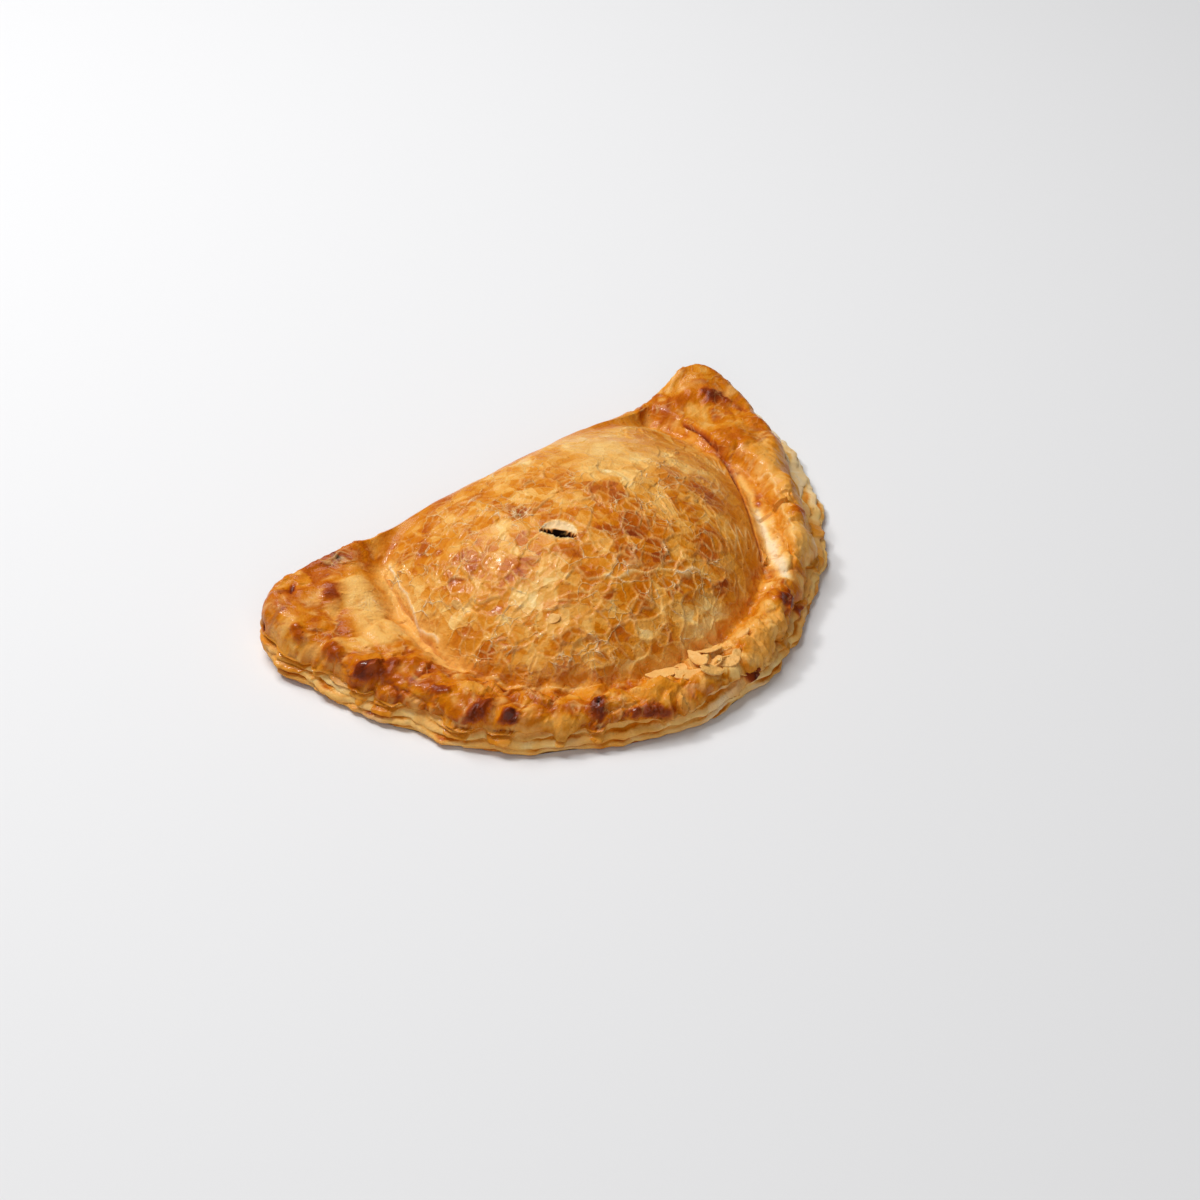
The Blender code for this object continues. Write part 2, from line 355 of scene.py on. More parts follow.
    def __post_init__(self) -> None:
        """Walks the outline once, from the middle of the fold past the -X tip."""
        angles = math.pi / 2 + 2 * math.pi * np.linspace(0, 1, self.steps + 1)
        near, far = np.zeros_like(angles), np.full_like(angles, self.length)
        for _ in range(self.halvings):
            middle = (near + far) / 2
            outside = self.outline_gap(*self.ray(angles, middle)) > 0
            far = np.where(outside, middle, far)
            near = np.where(outside, near, middle)
        x, y = self.ray(angles, near)
        for bulge in self.bulges:
            near = near + bulge.at(x, y)
        steps = np.hypot(np.diff(near * np.cos(angles)), np.diff(near * np.sin(angles)))
        walked = np.concatenate(([0.0], np.cumsum(steps)))
        self.table.update(angle=angles, reach=near, share=walked / walked[-1], round=walked[-1:])

    def ray(self, angle: np.ndarray, reach: np.ndarray) -> tuple[np.ndarray, np.ndarray]:
        """Points at a distance from the dome's middle, in a direction."""
        return self.dome_x + reach * np.cos(angle), self.dome_y + reach * np.sin(angle)

    def outline_gap(self, x: np.ndarray, y: np.ndarray) -> np.ndarray:
        """Roughly how far points are outside (+) or inside (-) the plan outline."""
        fold_y = self.depth / 2
        depth_share = np.maximum(fold_y - y, 0.0) / self.depth
        across = (x + self.rim_lean * depth_share ** 2) / (self.length / 2)
        rim_gap = (power_norm(across, depth_share, self.rim_power) - 1) * self.length / 2
        middle_share = 1 - np.minimum(np.abs(x) / (self.length / 2), 1.0)
        fold_gap = y - fold_y + self.fold_dip * ease(2 * middle_share)
        return smooth_max(rim_gap, fold_gap, self.tip_round)

    def crease_norm(self, x: np.ndarray, y: np.ndarray, back_power: float) -> np.ndarray:
        """0 at the dome's middle and 1 on the crease, growing evenly along any ray."""
        over = y - self.dome_y
        across = (x - self.dome_x - self.dome_lean * over) / self.dome_half_length
        front = power_norm(across, over / self.dome_front, self.front_power)
        back = power_norm(across, over / self.dome_back, back_power)
        return np.where(over < 0, front, back)

    def dome_height(self, x: np.ndarray, y: np.ndarray) -> np.ndarray:
        """Height of the dome, which dives below the rim outside its crease."""
        square = self.crease_norm(x, y, self.back_power)
        level = self.crease_norm(x, y, self.front_power)
        level = np.minimum(level + (square - level) * ease(square), 1.0)
        forward = (1 - np.sin(np.arctan2(y - self.dome_y, x - self.dome_x))) / self.flank_turn
        flank = self.back_flank + (self.front_flank - self.back_flank) * ease(forward)
        rise = (self.dome_top - self.crease_z) * (1 - level * level) ** flank
        dive = self.crease_z - self.dome_dive * (square - 1) * self.dome_front
        return np.where(square >= 1, dive, self.crease_z + rise)

    def fold_to_rim(self, along: np.ndarray, at_fold: float, at_rim: float) -> np.ndarray:
        """A value that changes smoothly from the middle of the fold to the rim."""
        from_fold = np.minimum(along, 1 - along)
        return at_fold + (at_rim - at_fold) * ease(from_fold / self.rim_start)

    def rim_top(self, along: np.ndarray) -> np.ndarray:
        """Height of the rim's crown round the outline."""
        tops = np.array(self.rim_tops)
        step = along * len(tops)
        first = np.floor(step).astype(int)
        low, high = tops[first % len(tops)], tops[(first + 1) % len(tops)]
        return low + ease(step - first) * (high - low)

    def crimp_press(self, along: np.ndarray) -> np.ndarray:
        """Sum of the crimps' pressing round the outline."""
        total = np.zeros_like(along)
        for k in range(self.crimps):
            wander = self.crimp_wander * math.sin(7.3 * k + 1.1)
            strength = 1 + self.crimp_uneven * math.sin(4.7 * k + 0.6)
            place = self.rim_start + (1 - 2 * self.rim_start) * (k + 0.5 + wander) / self.crimps
            away = (along - place) * self.table["round"][0]
            total = total + strength * hill(away, self.crimp_reach)
        return total

    def ledge_share(self, along: np.ndarray) -> np.ndarray:
        """Where the rim is a smooth roll, on the +X side: 0 to 1."""
        return between(along, self.roll_start, self.roll_end)

    def strip_share(self, along: np.ndarray) -> np.ndarray:
        """Where a flat strip lies between the dome and the roll: 0 to 1."""
        return between(along, self.roll_start, self.strip_end)

    def skirt_width(self, along: np.ndarray) -> np.ndarray:
        """How far the lower pastry layers stand out past the rim's lip."""
        return np.interp(along, self.skirt_at, self.skirt_widths)

    def seam_share(self, along: np.ndarray) -> np.ndarray:
        """Share of the way to the lip at which the dome ends and the rim begins."""
        lip = self.reach_at(along) - self.skirt_width(along)
        return np.minimum(self.crease_reach(along), lip - self.narrowest_rim) / lip

    def crease_reach(self, along: np.ndarray) -> np.ndarray:
        """Distance from the dome's middle to the crease."""
        x, y, _ = self.outline(along).T
        return self.reach_at(along) / self.crease_norm(x, y, self.back_power)

    def outline(self, along: np.ndarray) -> np.ndarray:
        """Points of the plan outline, on the plate."""
        x, y = self.ray(self.angle_at(along), self.reach_at(along))
        return np.stack([x, y, np.zeros_like(x)], axis=1)

    def angle_at(self, along: np.ndarray) -> np.ndarray:
        """Direction from the dome's middle to a place on the outline."""
        return np.interp(along, self.table["share"], self.table["angle"])

    def reach_at(self, along: np.ndarray) -> np.ndarray:
        """Distance from the dome's middle to a place on the outline."""
        reach = np.interp(along, self.table["share"], self.table["reach"])
        return reach + self.crimp_bulge * self.crimp_press(along)

    def rim_height(
        self, inset: np.ndarray, outside: np.ndarray, along: np.ndarray, ledge: np.ndarray
    ) -> np.ndarray:
        """Height of the rim at a distance in from the outline and outside the crease."""
        top = self.rim_top(along)
        crease_z = np.maximum(self.crease_z, top - self.crease_drop)
        pressed = self.crimp_height * self.crimp_press(along)
        crimp = pressed * hill(inset - self.crimp_inset, self.crimp_width)
        climb = self.rim_climb + (self.roll_climb - self.rim_climb) * ledge
        from_crease = outside - self.strip_width * self.strip_share(along)
        return crease_z + (top + crimp - crease_z) * ease(from_crease / climb)

    def _fold_ridge(self, x: np.ndarray, along: np.ndarray, inset: np.ndarray) -> np.ndarray:
        """Height of the ridge that the folded pastry makes along the fold, from tip to tip."""
        from_fold = np.minimum(along, 1 - along)
        near = 1 - ramp(from_fold, *self.ridge_end)
        top = np.interp(x, *zip(*self.ridge))
        return top * near - self.ridge_fall * np.maximum(inset - self.ridge_reach, 0)

    def skin(self, along: np.ndarray, run: np.ndarray) -> np.ndarray:
        """Points of the smooth skin.

        Args:
            along: share of the way round, from the middle of the fold past the -X tip.
            run: 0 at the dome's middle, 1 on the outline, 2 on the foot, more underneath.

        Returns:
            One x, y, z row for each pair.
        """
        share = np.minimum(run, 1.0)
        angle, width = self.angle_at(along), self.skirt_width(along)
        lip = self.reach_at(along) - width
        x, y = self.ray(angle, lip * share)
        inset, outside = lip * (1 - share), lip * share - self.crease_reach(along)
        ledge = self.ledge_share(along)
        rim = self.rim_height(inset + width, outside, along, ledge)
        crown = smooth_max(self.dome_height(x, y), rim, self.crease_blend)
        crown = smooth_max(crown, self._fold_ridge(x, along, inset), self.ridge_blend)
        for swell in self.swells:
            crown = crown + swell.at(x, y)
        middle = np.interp(along, self.skirt_at, self.lip_heights)
        edge = self.fold_to_rim(along, self.fold_edge, self.rim_edge)
        top = middle + (crown - middle) * quarter_round(inset / edge)
        down = np.clip(run - 1, 0, 1)
        turn = 0.5 * math.pi * down
        stepped = ramp(width, *self.stepped_from)
        hem = width * ramp(down, *self.hem_span)
        hem = hem - self.under_lip * hill(down - self.under_lip_at, self.under_lip_span)
        hem = hem - self.foot_back * ramp(down, *self.foot_span)
        out = -self.undercut * (1 - np.cos(turn)) * (1 - stepped) + hem * stepped
        out = out - np.maximum(run - 2, 0) * (lip + width - self.undercut)
        fall = np.sin(turn) + (down - np.sin(turn)) * stepped
        z = np.where(run > 1, middle * (1 - fall), top)
        x = x + out * np.cos(angle)
        y = y + out * np.sin(angle)
        return np.stack([x, y, np.where(run >= 2, 0.0, z)], axis=1)


# ---------------------------------------------------------------------------------------------
# What is drawn on the crust, listed one by one
# ---------------------------------------------------------------------------------------------


@dataclass(frozen=True)
class Knob:
    """A blister of the crust: a raised lump that has baked darker than the rest."""

    name: str
    x: float
    y: float
    length: float
    width: float
    turn: float          # degrees from +X
    lift: float
    bake: float          # bake at its top
    glaze: float = 0.9


@dataclass(frozen=True)
class Stroke:
    """A groove, a lip or a strip of another bake, drawn along a path seen from above. A dark bake along a
    groove is painted shade.
    """

    name: str
    path: tuple[tuple[float, float], ...]
    width: float
    lift: float
    bake: float = -1.0   # below 0 leaves the bake alone
    glaze: float = -1.0  # below 0 leaves the glaze alone
    strength: float = 0.8
    line: float = 0.0    # how strongly it shows as a pale edge line
    wander: float = 0.8
    dry: float = 0.0     # how pale and unglazed it is


@dataclass(frozen=True)
class Patch:
    """A broad patch where the crust's bake is drawn to a value."""

    name: str
    x: float
    y: float
    length: float
    width: float
    turn: float
    bake: float
    strength: float = 0.7
    red: float = 0.0
    dry: float = 0.0     # how pale and unglazed it is


@dataclass(frozen=True)
class Chip:
    """A loose flake of dry pastry lying on the rim, like a sliver of almond."""

    name: str
    x: float
    y: float
    length: float
    width: float
    turn: float          # degrees from +X
    lean: float = 0.0    # degrees its far end is lifted
    thick: float = 0.7


@dataclass(frozen=True)
class Vent:
    """Place and size of the steam vent."""

    x: float = -21.4
    y: float = 4.8
    length: float = 10.6
    near: float = 1.5          # the near lip lies this far from the middle line
    brink: float = 1.1         # the sloping far wall ends here
    far: float = 3.7           # the far lip lies this far from the middle line
    brink_depth: float = 0.7
    depth: float = 4.6
    lip_width: float = 0.8     # rounded lips all round
    lip_height: float = 0.35
    turn: float = -61.0        # degrees from +X


# What the mesh tells the finish about each place, and its value before anything is drawn. The bake mask also
# carries painted shade in the vent's slit, a pit, creases, cracks and the gaps between sheets.
PLAIN_MASKS = {"bake": 0.45, "glaze": 0.8, "red": 0.0, "pale": 0.0, "flaky": 0.0}


class Zone(Enum):
    """Main zones of the crust."""

    DOME = "dome"
    RIM = "rim"
    SIDE = "side"
    UNDER = "underside"


KNOBS: tuple[Knob, ...] = (
    Knob("left tip, upper", -74.2, 41.6, 4.0, 2.9, 60, 1.2, 0.84),
    Knob("left tip, outer", -90.0, 36.5, 3.0, 2.4, 70, 1.1, 0.76),
    Knob("left tip, small", -81.5, 50.2, 2.4, 0.9, 35, -0.9, 0.94),
    Knob("left, long", -87.7, 24.5, 4.2, 2.6, 60, 1.5, 0.77),
    Knob("left, big burnt", -85.2, 13.2, 3.9, 3.0, -50, 2.4, 0.92),
    Knob("left, burnt tail", -82.4, 8.2, 4.2, 2.2, -55, 0.9, 0.84),
    Knob("left, sugary", -79.4, 10.0, 4.8, 2.6, -30, 1.2, 0.84),
    Knob("left, sugary, inner", -73.4, 5.6, 5.6, 2.2, -45, 0.9, 0.72),
    Knob("left, hollow", -76.0, -7.6, 3.8, 2.2, -50, 1.2, 0.84),
    Knob("front left, double", -72.6, -19.4, 4.2, 2.9, -30, 2.1, 0.90),
    Knob("front left, second", -68.2, -27.0, 3.0, 2.4, -40, 1.7, 0.91),
    Knob("front, single", -48.3, -40.0, 2.7, 2.3, 0, 1.5, 0.90),
    Knob("front, long burnt", -37.2, -49.6, 7.2, 2.5, -14, 1.3, 0.90),
    Knob("front right corner", -3.4, -54.6, 4.4, 2.9, 30, 1.4, 0.92),
    Knob("front right, stripe", 22.8, -42.4, 4.4, 3.8, 35, 1.2, 0.90),
    Knob("front right, stripe side", 28.0, -42.4, 3.2, 2.8, 35, 0.6, 0.84),
    Knob("right tip, dark", 75.4, 39.4, 6.0, 3.0, -60, 1.1, 0.92),
    Knob("right tip, red", 67.0, 44.6, 4.4, 2.8, -20, 0.6, 0.70),
    Knob("right rim, orange", 65.0, 20.8, 6.4, 4.6, -70, 1.2, 0.66),
    Knob("right rim, orange small", 78.6, 22.5, 5.2, 3.2, -70, 1.0, 0.66),
    # A sunken, near-black pit: painted shade in the hole of the -X tip's curl.
    Knob("tip curl, painted shade in its hole", -92.4, 50.8, 1.5, 1.1, 60, -1.3, 0.97, 0.2),
    Knob("rope spot", 50.4, -4.6, 1.6, 1.1, 60, 0.1, 0.70),
    Knob("rope end", 52.6, -18.0, 3.6, 2.2, 60, 0.8, 0.68),
    Knob("lump, tan", 5.0, -50.8, 7.6, 5.6, 40, 2.0, 0.36, 0.2),
    Knob("lump, tan, small", 13.9, -47.0, 5.0, 3.6, 40, 1.6, 0.36, 0.2),
    Knob("front, pale lobe", -57.5, -37.4, 5.2, 3.2, -20, 1.2, 0.40, 0.5),
    Knob("front, gold lobe", -31.0, -47.4, 5.6, 3.8, -15, 1.4, 0.46, 0.7),
    Knob("left, pale lobe", -68.4, -12.8, 5.0, 3.2, -50, 1.0, 0.42, 0.5),
)

CHIPS: tuple[Chip, ...] = (
    Chip("big flat", -25.4, -42.0, 8.8, 6.4, -38),
    Chip("small by the big one", -20.6, -43.6, 5.2, 4.4, 10, 6),
    Chip("diagonal sliver", -15.8, -46.0, 8.4, 3.6, -95, 8),
    Chip("round", -12.2, -48.6, 5.6, 5.0, 0, 5),
    Chip("oval", -8.8, -50.6, 7.0, 4.8, -28, 4),
    Chip("pale", -10.0, -44.4, 7.6, 5.0, -20, 5),
    Chip("band", -21.0, -48.0, 9.4, 4.2, -34, 4),
    Chip("lower", -16.4, -51.6, 8.0, 4.0, -22, 3),
    Chip("corner", -5.4, -50.4, 4.6, 3.2, 30, 8),
    Chip("by the crease", -17.6, -41.6, 5.0, 2.2, -10, 6),
    Chip("far", -4.0, -45.6, 5.2, 3.4, 15, 5),
    Chip("near the lump", 1.6, -46.4, 4.4, 2.8, -20, 5),
    Chip("dome flake, left", -53.6, 10.8, 4.8, 2.6, 70, 16, 0.6),
    Chip("dome flake, low", -40.4, -14.0, 4.2, 2.8, -20, 10, 0.6),
)

STROKES: tuple[Stroke, ...] = (
    Stroke("left channel",
           ((-53.5, 45), (-56.5, 38), (-59.5, 29), (-63.0, 17), (-65.4, 6), (-64.5, -5)),
           3.0, -0.5, 0.30, 0.5, 0.9, 0.0, 1.0, 0.28),
    Stroke("left channel edge",
           ((-52.4, 43), (-54.2, 38), (-56.2, 32.5), (-59.0, 24.4), (-61.2, 18.4), (-62.4, 8)),
           0.42, 0.55, 0.34, 0.6, 0.6, 0.75, 0.7),
    # Painted shade: a dark line in the channel's crack.
    Stroke("left channel crack",
           ((-55.2, 42), (-57.6, 34), (-60.2, 25), (-62.2, 17), (-63.8, 7.3), (-63.6, -2)),
           0.40, -0.9, 0.66, 0.2, 0.8, 0.0, 0.7),
    Stroke("left band", ((-67.0, 43.5), (-69.4, 34), (-72.6, 24), (-75.6, 17)),
           3.9, 0.4, 0.26, 0.16, 0.85, 0.0, 1.2, 0.34),
    Stroke("left band edge", ((-63.6, 43), (-65.4, 34), (-68.4, 23), (-71.0, 15)),
           0.40, 0.30, 0.40, 0.3, 0.6, 0.5, 1.6),
    # Painted shade: a darker line in the band's split.
    Stroke("left band split", ((-70.0, 36), (-72.4, 29), (-71.4, 23), (-74.6, 17)),
           0.30, -0.35, 0.56, 0.2, 0.7, 0.0, 2.0),
    # Painted shade: a dark line in the border's crack.
    Stroke("left border crack", ((-92.6, 31), (-90.4, 26), (-88.8, 19)),
           0.35, -0.5, 0.62, 0.2, 0.8, 0.0, 1.6),
    Stroke("front left crease", ((-64.5, -5), (-57, -18.4), (-48.5, -26), (-39.8, -32.6)),
           1.5, -0.8, 0.34, 0.9, 0.6),
    Stroke("front left crease line", ((-62, -8), (-55.6, -20.4), (-47, -28.4), (-41, -33.4)),
           0.36, 0.30, 0.3, 0.3, 0.5, 0.5, 1.4),
    Stroke("front crease", ((-39.8, -32.6), (-23.4, -39.4), (-9.5, -41.0), (7.7, -39.4), (22, -35)),
           1.6, -0.8, 0.44, 0.9, 0.5),
    Stroke("right roll", ((69, 30), (68, 20), (64, 6), (58.5, -6), (52.5, -16), (44.5, -27), (36, -36)),
           4.0, 1.0, 0.29, 0.75, 0.75, 0.0, 1.0),
    Stroke("right pale strip, low", ((48.6, -3.8), (43.0, -13.4), (36.6, -24.4), (28.6, -37.0)),
           1.8, -0.4, 0.06, 0.10, 1.0, 0.0, 1.0, 0.86),
    Stroke("right pale strip, top", ((57.0, 10), (53.6, 3.6), (49.6, -2.0), (45.6, -8.0)),
           0.9, -0.3, 0.26, 0.20, 0.8, 0.0, 0.9, 0.36),
    Stroke("strip's shadowed edge", ((55.4, -1), (50.6, -10), (44.4, -20), (38.0, -29.6), (33.0, -36)),
           0.45, -0.8, 0.44, 0.2, 0.7, 0.0, 0.8),
    Stroke("roll flake, upper", ((60.4, 4), (57.2, -4), (51.6, -12)), 0.32, 0.25, 0.3, 0.3, 0.5, 0.6, 1.8),
    Stroke("roll flake, lower", ((52.0, -13), (47.4, -20), (41.8, -28)), 0.32, 0.25, 0.3, 0.3, 0.5, 0.6, 1.8),
    # Painted shade: the gap beside the dome's right foot is nearly black.
    Stroke("right crease gap",
           ((60.4, 39), (60.0, 32.5), (59.3, 24.4), (57.6, 16.4), (54.0, 9.4), (50.0, 3.2)),
           0.48, -1.5, 0.92, 0.0, 1.0, 0.0, 0.15),
    # Painted shade: a dark line along the right crease.
    Stroke("right crease", ((51.6, 6.0), (47.7, -0.7), (42.4, -8.4), (36.8, -15.9), (30.4, -25.5)),
           0.45, -1.0, 0.74, 0.3, 0.9, 0.0, 0.3),
    Stroke("long flake line", ((-24, -13.4), (-18.5, -16.4), (-12.7, -19.6), (-2, -24.2), (6, -25.4)),
           0.45, 0.45, 0.2, 0.4, 0.5, 0.6, 1.8),
)

PATCHES: tuple[Patch, ...] = (
    Patch("dome, middle left", -30, 22, 24, 18, 0, 0.52, 0.7),
    Patch("dome, upper left", -44, 34, 11, 9, 20, 0.52, 0.7),
    Patch("dome, left front", -50, 8, 10, 14, 0, 0.52, 0.7),
    Patch("dome, pale heart", -38, -9, 9, 7, -40, 0.25, 0.9, 0.0, 0.10),
    Patch("dome, pale upper left", -38, 18, 7, 9, 10, 0.29, 0.7, 0.0, 0.05),
    Patch("dome, orange middle", -14, -6, 18, 12, -40, 0.54, 0.8),
    # Painted highlights: pale patches where light falls on the top of the dome.
    Patch("dome, painted highlight", 24, 20, 24, 12, 0, 0.24, 0.9, 0.0, 0.30),
    Patch("dome, back, painted highlight", 4, 38, 28, 7, 0, 0.32, 0.7, 0.0, 0.12),
    Patch("dome, right flank", 38, 2, 14, 24, -35, 0.52, 0.9),
    Patch("dome, right flank, low", 22, -20, 12, 12, -35, 0.50, 0.7),
    Patch("dome, front", -14, -28, 28, 8, -12, 0.44, 0.7),
    Patch("dome, front, gold", -46, -20, 10, 7, -45, 0.40, 0.6),
    Patch("fold ridge", -6, 54, 54, 5, 0, 0.46, 0.8, 0.25),
    Patch("fold ridge, left", -44, 50, 14, 6, 0, 0.50, 0.8, 0.35),
    Patch("left tip ridge", -76, 52, 16, 6, 0, 0.55, 0.9, 0.3),
    Patch("left tip, brown", -91, 47, 6, 6, 0, 0.62, 0.8, 0.4),
    Patch("left tip, red patch", -64, 49, 6, 4, 0, 0.60, 0.7, 0.9),
    Patch("left channel", -60, 24, 4.5, 18, -12, 0.30, 1.3, 0.0, 0.20),
    Patch("left border", -84, 30, 9, 16, 0, 0.46, 0.7),
    Patch("left band", -70, 30, 5.0, 14, -15, 0.27, 1.2, 0.0, 0.30),
    Patch("left side, pale", -93, 40, 4, 11, 0, 0.24, 0.9, 0.0, 0.4),
    Patch("left border, low", -80, 14, 8, 8, -60, 0.52, 0.6),
    Patch("front rim", -62, -34, 26, 8, -48, 0.50, 0.8),
    Patch("front rim, right", -30, -49, 16, 6, -10, 0.48, 0.8),
    Patch("chips", -14, -47, 16, 8, 10, 0.24, 2.2, 0.0, 0.46),
    Patch("tan lump", 7, -50, 9, 7, 30, 0.36, 1.0, 0.1, 0.20),
    Patch("right rim, tip", 78, 44, 11, 11, 0, 0.48, 0.7, 0.2, 0.10),
    Patch("right rim, tan", 64, 33, 5, 9, 0, 0.36, 0.9, 0.1, 0.28),
    Patch("right rim, upper", 68, 22, 9, 9, 0, 0.46, 0.7, 0.1, 0.14),
    Patch("right roll, upper", 60, 6, 7, 9, -30, 0.30, 0.9, 0.0, 0.42),
    Patch("right roll, band", 55, -12, 4, 2.6, 20, 0.46, 0.6),
    Patch("right roll, low", 46, -24, 8, 14, -35, 0.22, 1.3, 0.0, 0.40),
    Patch("flank red, low", 10, -23, 4.5, 3.4, -30, 0.62, 0.6, 0.8),
    Patch("flank red, top", 34.5, 4.6, 4.4, 1.8, -20, 0.66, 0.6, 0.8),
    Patch("flank red, wide", 40, -2, 9, 6, -50, 0.54, 0.4, 0.6),
    Patch("vent, red patch", -25.6, -1.6, 3.6, 1.9, -60, 0.66, 0.7, 0.6),
    Patch("back mottle a", -28, 47, 6, 3, 20, 0.56, 0.6, 0.8),
    Patch("back mottle b", 6, 50, 8, 3, 0, 0.55, 0.6, 0.8),
    Patch("back mottle c", 38, 46, 8, 4, -10, 0.52, 0.6, 0.6),
)


# ---------------------------------------------------------------------------------------------
# Finishes
# ---------------------------------------------------------------------------------------------


def linear(red: int, green: int, blue: int) -> tuple[float, float, float, float]:
    """A colour mixed on a screen, as the light it stands for."""
    mixed = []
    for part in (red, green, blue):
        share = part / 255
        mixed.append(share / 12.92 if share <= 0.04045 else ((share + 0.055) / 1.055) ** 2.4)
    return (mixed[0], mixed[1], mixed[2], 1.0)


ColourScale = tuple[tuple[float, tuple[int, int, int]], ...]

BLUSH = (186, 92, 40)
PALE_COLOURS: ColourScale = ((0.35, (248, 206, 128)), (0.80, (242, 216, 176)))
BAKE_AND_SHADE_COLOURS: ColourScale = (
    (0.00, (246, 218, 160)),
    (0.14, (240, 194, 118)),
    (0.28, (230, 166, 78)),
    (0.42, (217, 136, 32)),
    (0.54, (202, 112, 4)),
    (0.66, (182, 88, 3)),
    (0.76, (160, 68, 8)),
    (0.84, (132, 50, 10)),
    (0.92, (98, 34, 10)),
    # The two darkest stops are near-black painted shade, for the vent's slit and the pit in the -X tip's
    # curl.
    (0.97, (60, 22, 9)),
    (1.00, (24, 10, 7)),
)


Feed = float | tuple[float, ...] | bpy.types.NodeSocket


class Wiring:
    """Adds shader nodes to a tree and joins them up."""

    def __init__(self, tree: bpy.types.NodeTree) -> None:
        """Starts work on a tree."""
        self.tree = tree

    def feed(self, node: bpy.types.Node, feeds: dict[str | int, Feed]) -> None:
        """Gives a node's inputs a value, or joins them to another node's output."""
        for label, value in feeds.items():
            if isinstance(value, bpy.types.NodeSocket):
                self.tree.links.new(value, node.inputs[label])
            else:
                node.inputs[label].default_value = value

    def add(self, kind: str, feeds: dict[str | int, Feed], **settings: object) -> bpy.types.NodeOutputs:
        """Adds a shader node.

        Args:
            kind: its type, without "ShaderNode" in front.
            feeds: a value or another node's output for each input that is used.
            settings: the node's own settings.

        Returns:
            The node's outputs.
        """
        node = self.tree.nodes.new("ShaderNode" + kind)
        for label, value in settings.items():
            setattr(node, label, value)
        self.feed(node, feeds)
        return node.outputs

    def math(self, operation: str, *feeds: Feed, clamp: bool = False) -> bpy.types.NodeSocket:
        """Adds a sum and gives its result."""
        return self.add("Math", dict(enumerate(feeds)), operation=operation, use_clamp=clamp)["Value"]

    def vector(self, operation: str, feeds: dict[str | int, Feed]) -> bpy.types.NodeSocket:
        """Adds a sum of vectors and gives its result."""
        return self.add("VectorMath", feeds, operation=operation)["Vector"]

    def place(self) -> bpy.types.NodeSocket:
        """Adds a node that gives the place on the object."""
        return self.add("TexCoord", {})["Object"]

    def noise(self, place: Feed, scale: Feed, detail: float, roughness: float = 0.5) -> bpy.types.NodeOutputs:
        """Adds a cloudy pattern."""
        return self.add("TexNoise", {
            "Vector": place, "Scale": scale, "Detail": detail, "Roughness": roughness,
        })

    def span(self, value: Feed, low: Feed, high: Feed, at_low: Feed, at_high: Feed) -> bpy.types.NodeSocket:
        """Adds a straight ramp from at_low, where the value is low, to at_high."""
        return self.add("MapRange", {
            "Value": value, "From Min": low, "From Max": high, "To Min": at_low, "To Max": at_high,
        })["Result"]

    def scale(self, share: Feed, colours: ColourScale) -> bpy.types.NodeSocket:
        """Adds a scale of colours and gives the colour at a share of it."""
        node = self.tree.nodes.new("ShaderNodeValToRGB")
        stops = node.color_ramp.elements
        while len(stops) < len(colours):
            stops.new(0.5)
        for stop, (place, colour) in zip(stops, colours):
            stop.position = place
            stop.color = linear(*colour)
        self.feed(node, {"Fac": share})
        return node.outputs["Color"]

    def mix(self, share: Feed, first: Feed, second: Feed) -> bpy.types.NodeSocket:
        """Adds a mix of two colours, which are the node's sockets 6 and 7, and gives the result."""
        return self.add("Mix", {0: share, 6: first, 7: second}, data_type="RGBA")[2]


class Group(Wiring):
    """A shader node group that is being built."""

    def __init__(self, name: str, inputs: dict[str, float], outputs: tuple[str, ...]) -> None:
        """Makes an empty group with number inputs and with number or colour outputs."""
        super().__init__(bpy.data.node_groups.new(name, "ShaderNodeTree"))
        for label, value in inputs.items():
            socket = self._socket(label, "INPUT", "NodeSocketFloat")
            socket.default_value = value
        for label in outputs:
            self._socket(label, "OUTPUT", "NodeSocketColor" if label == "Color" else "NodeSocketFloat")
        self.entry = self.tree.nodes.new("NodeGroupInput").outputs

    def _socket(self, label: str, way: str, kind: str) -> bpy.types.NodeTreeInterfaceSocket:
        """Adds an input or output to the group."""
        return self.tree.interface.new_socket(label, in_out=way, socket_type=kind)

    def close(self, **results: bpy.types.NodeSocket) -> bpy.types.NodeTree:
        """Joins the results to the group's outputs and gives the finished group."""
        self.feed(self.tree.nodes.new("NodeGroupOutput"), results)
        return self.tree


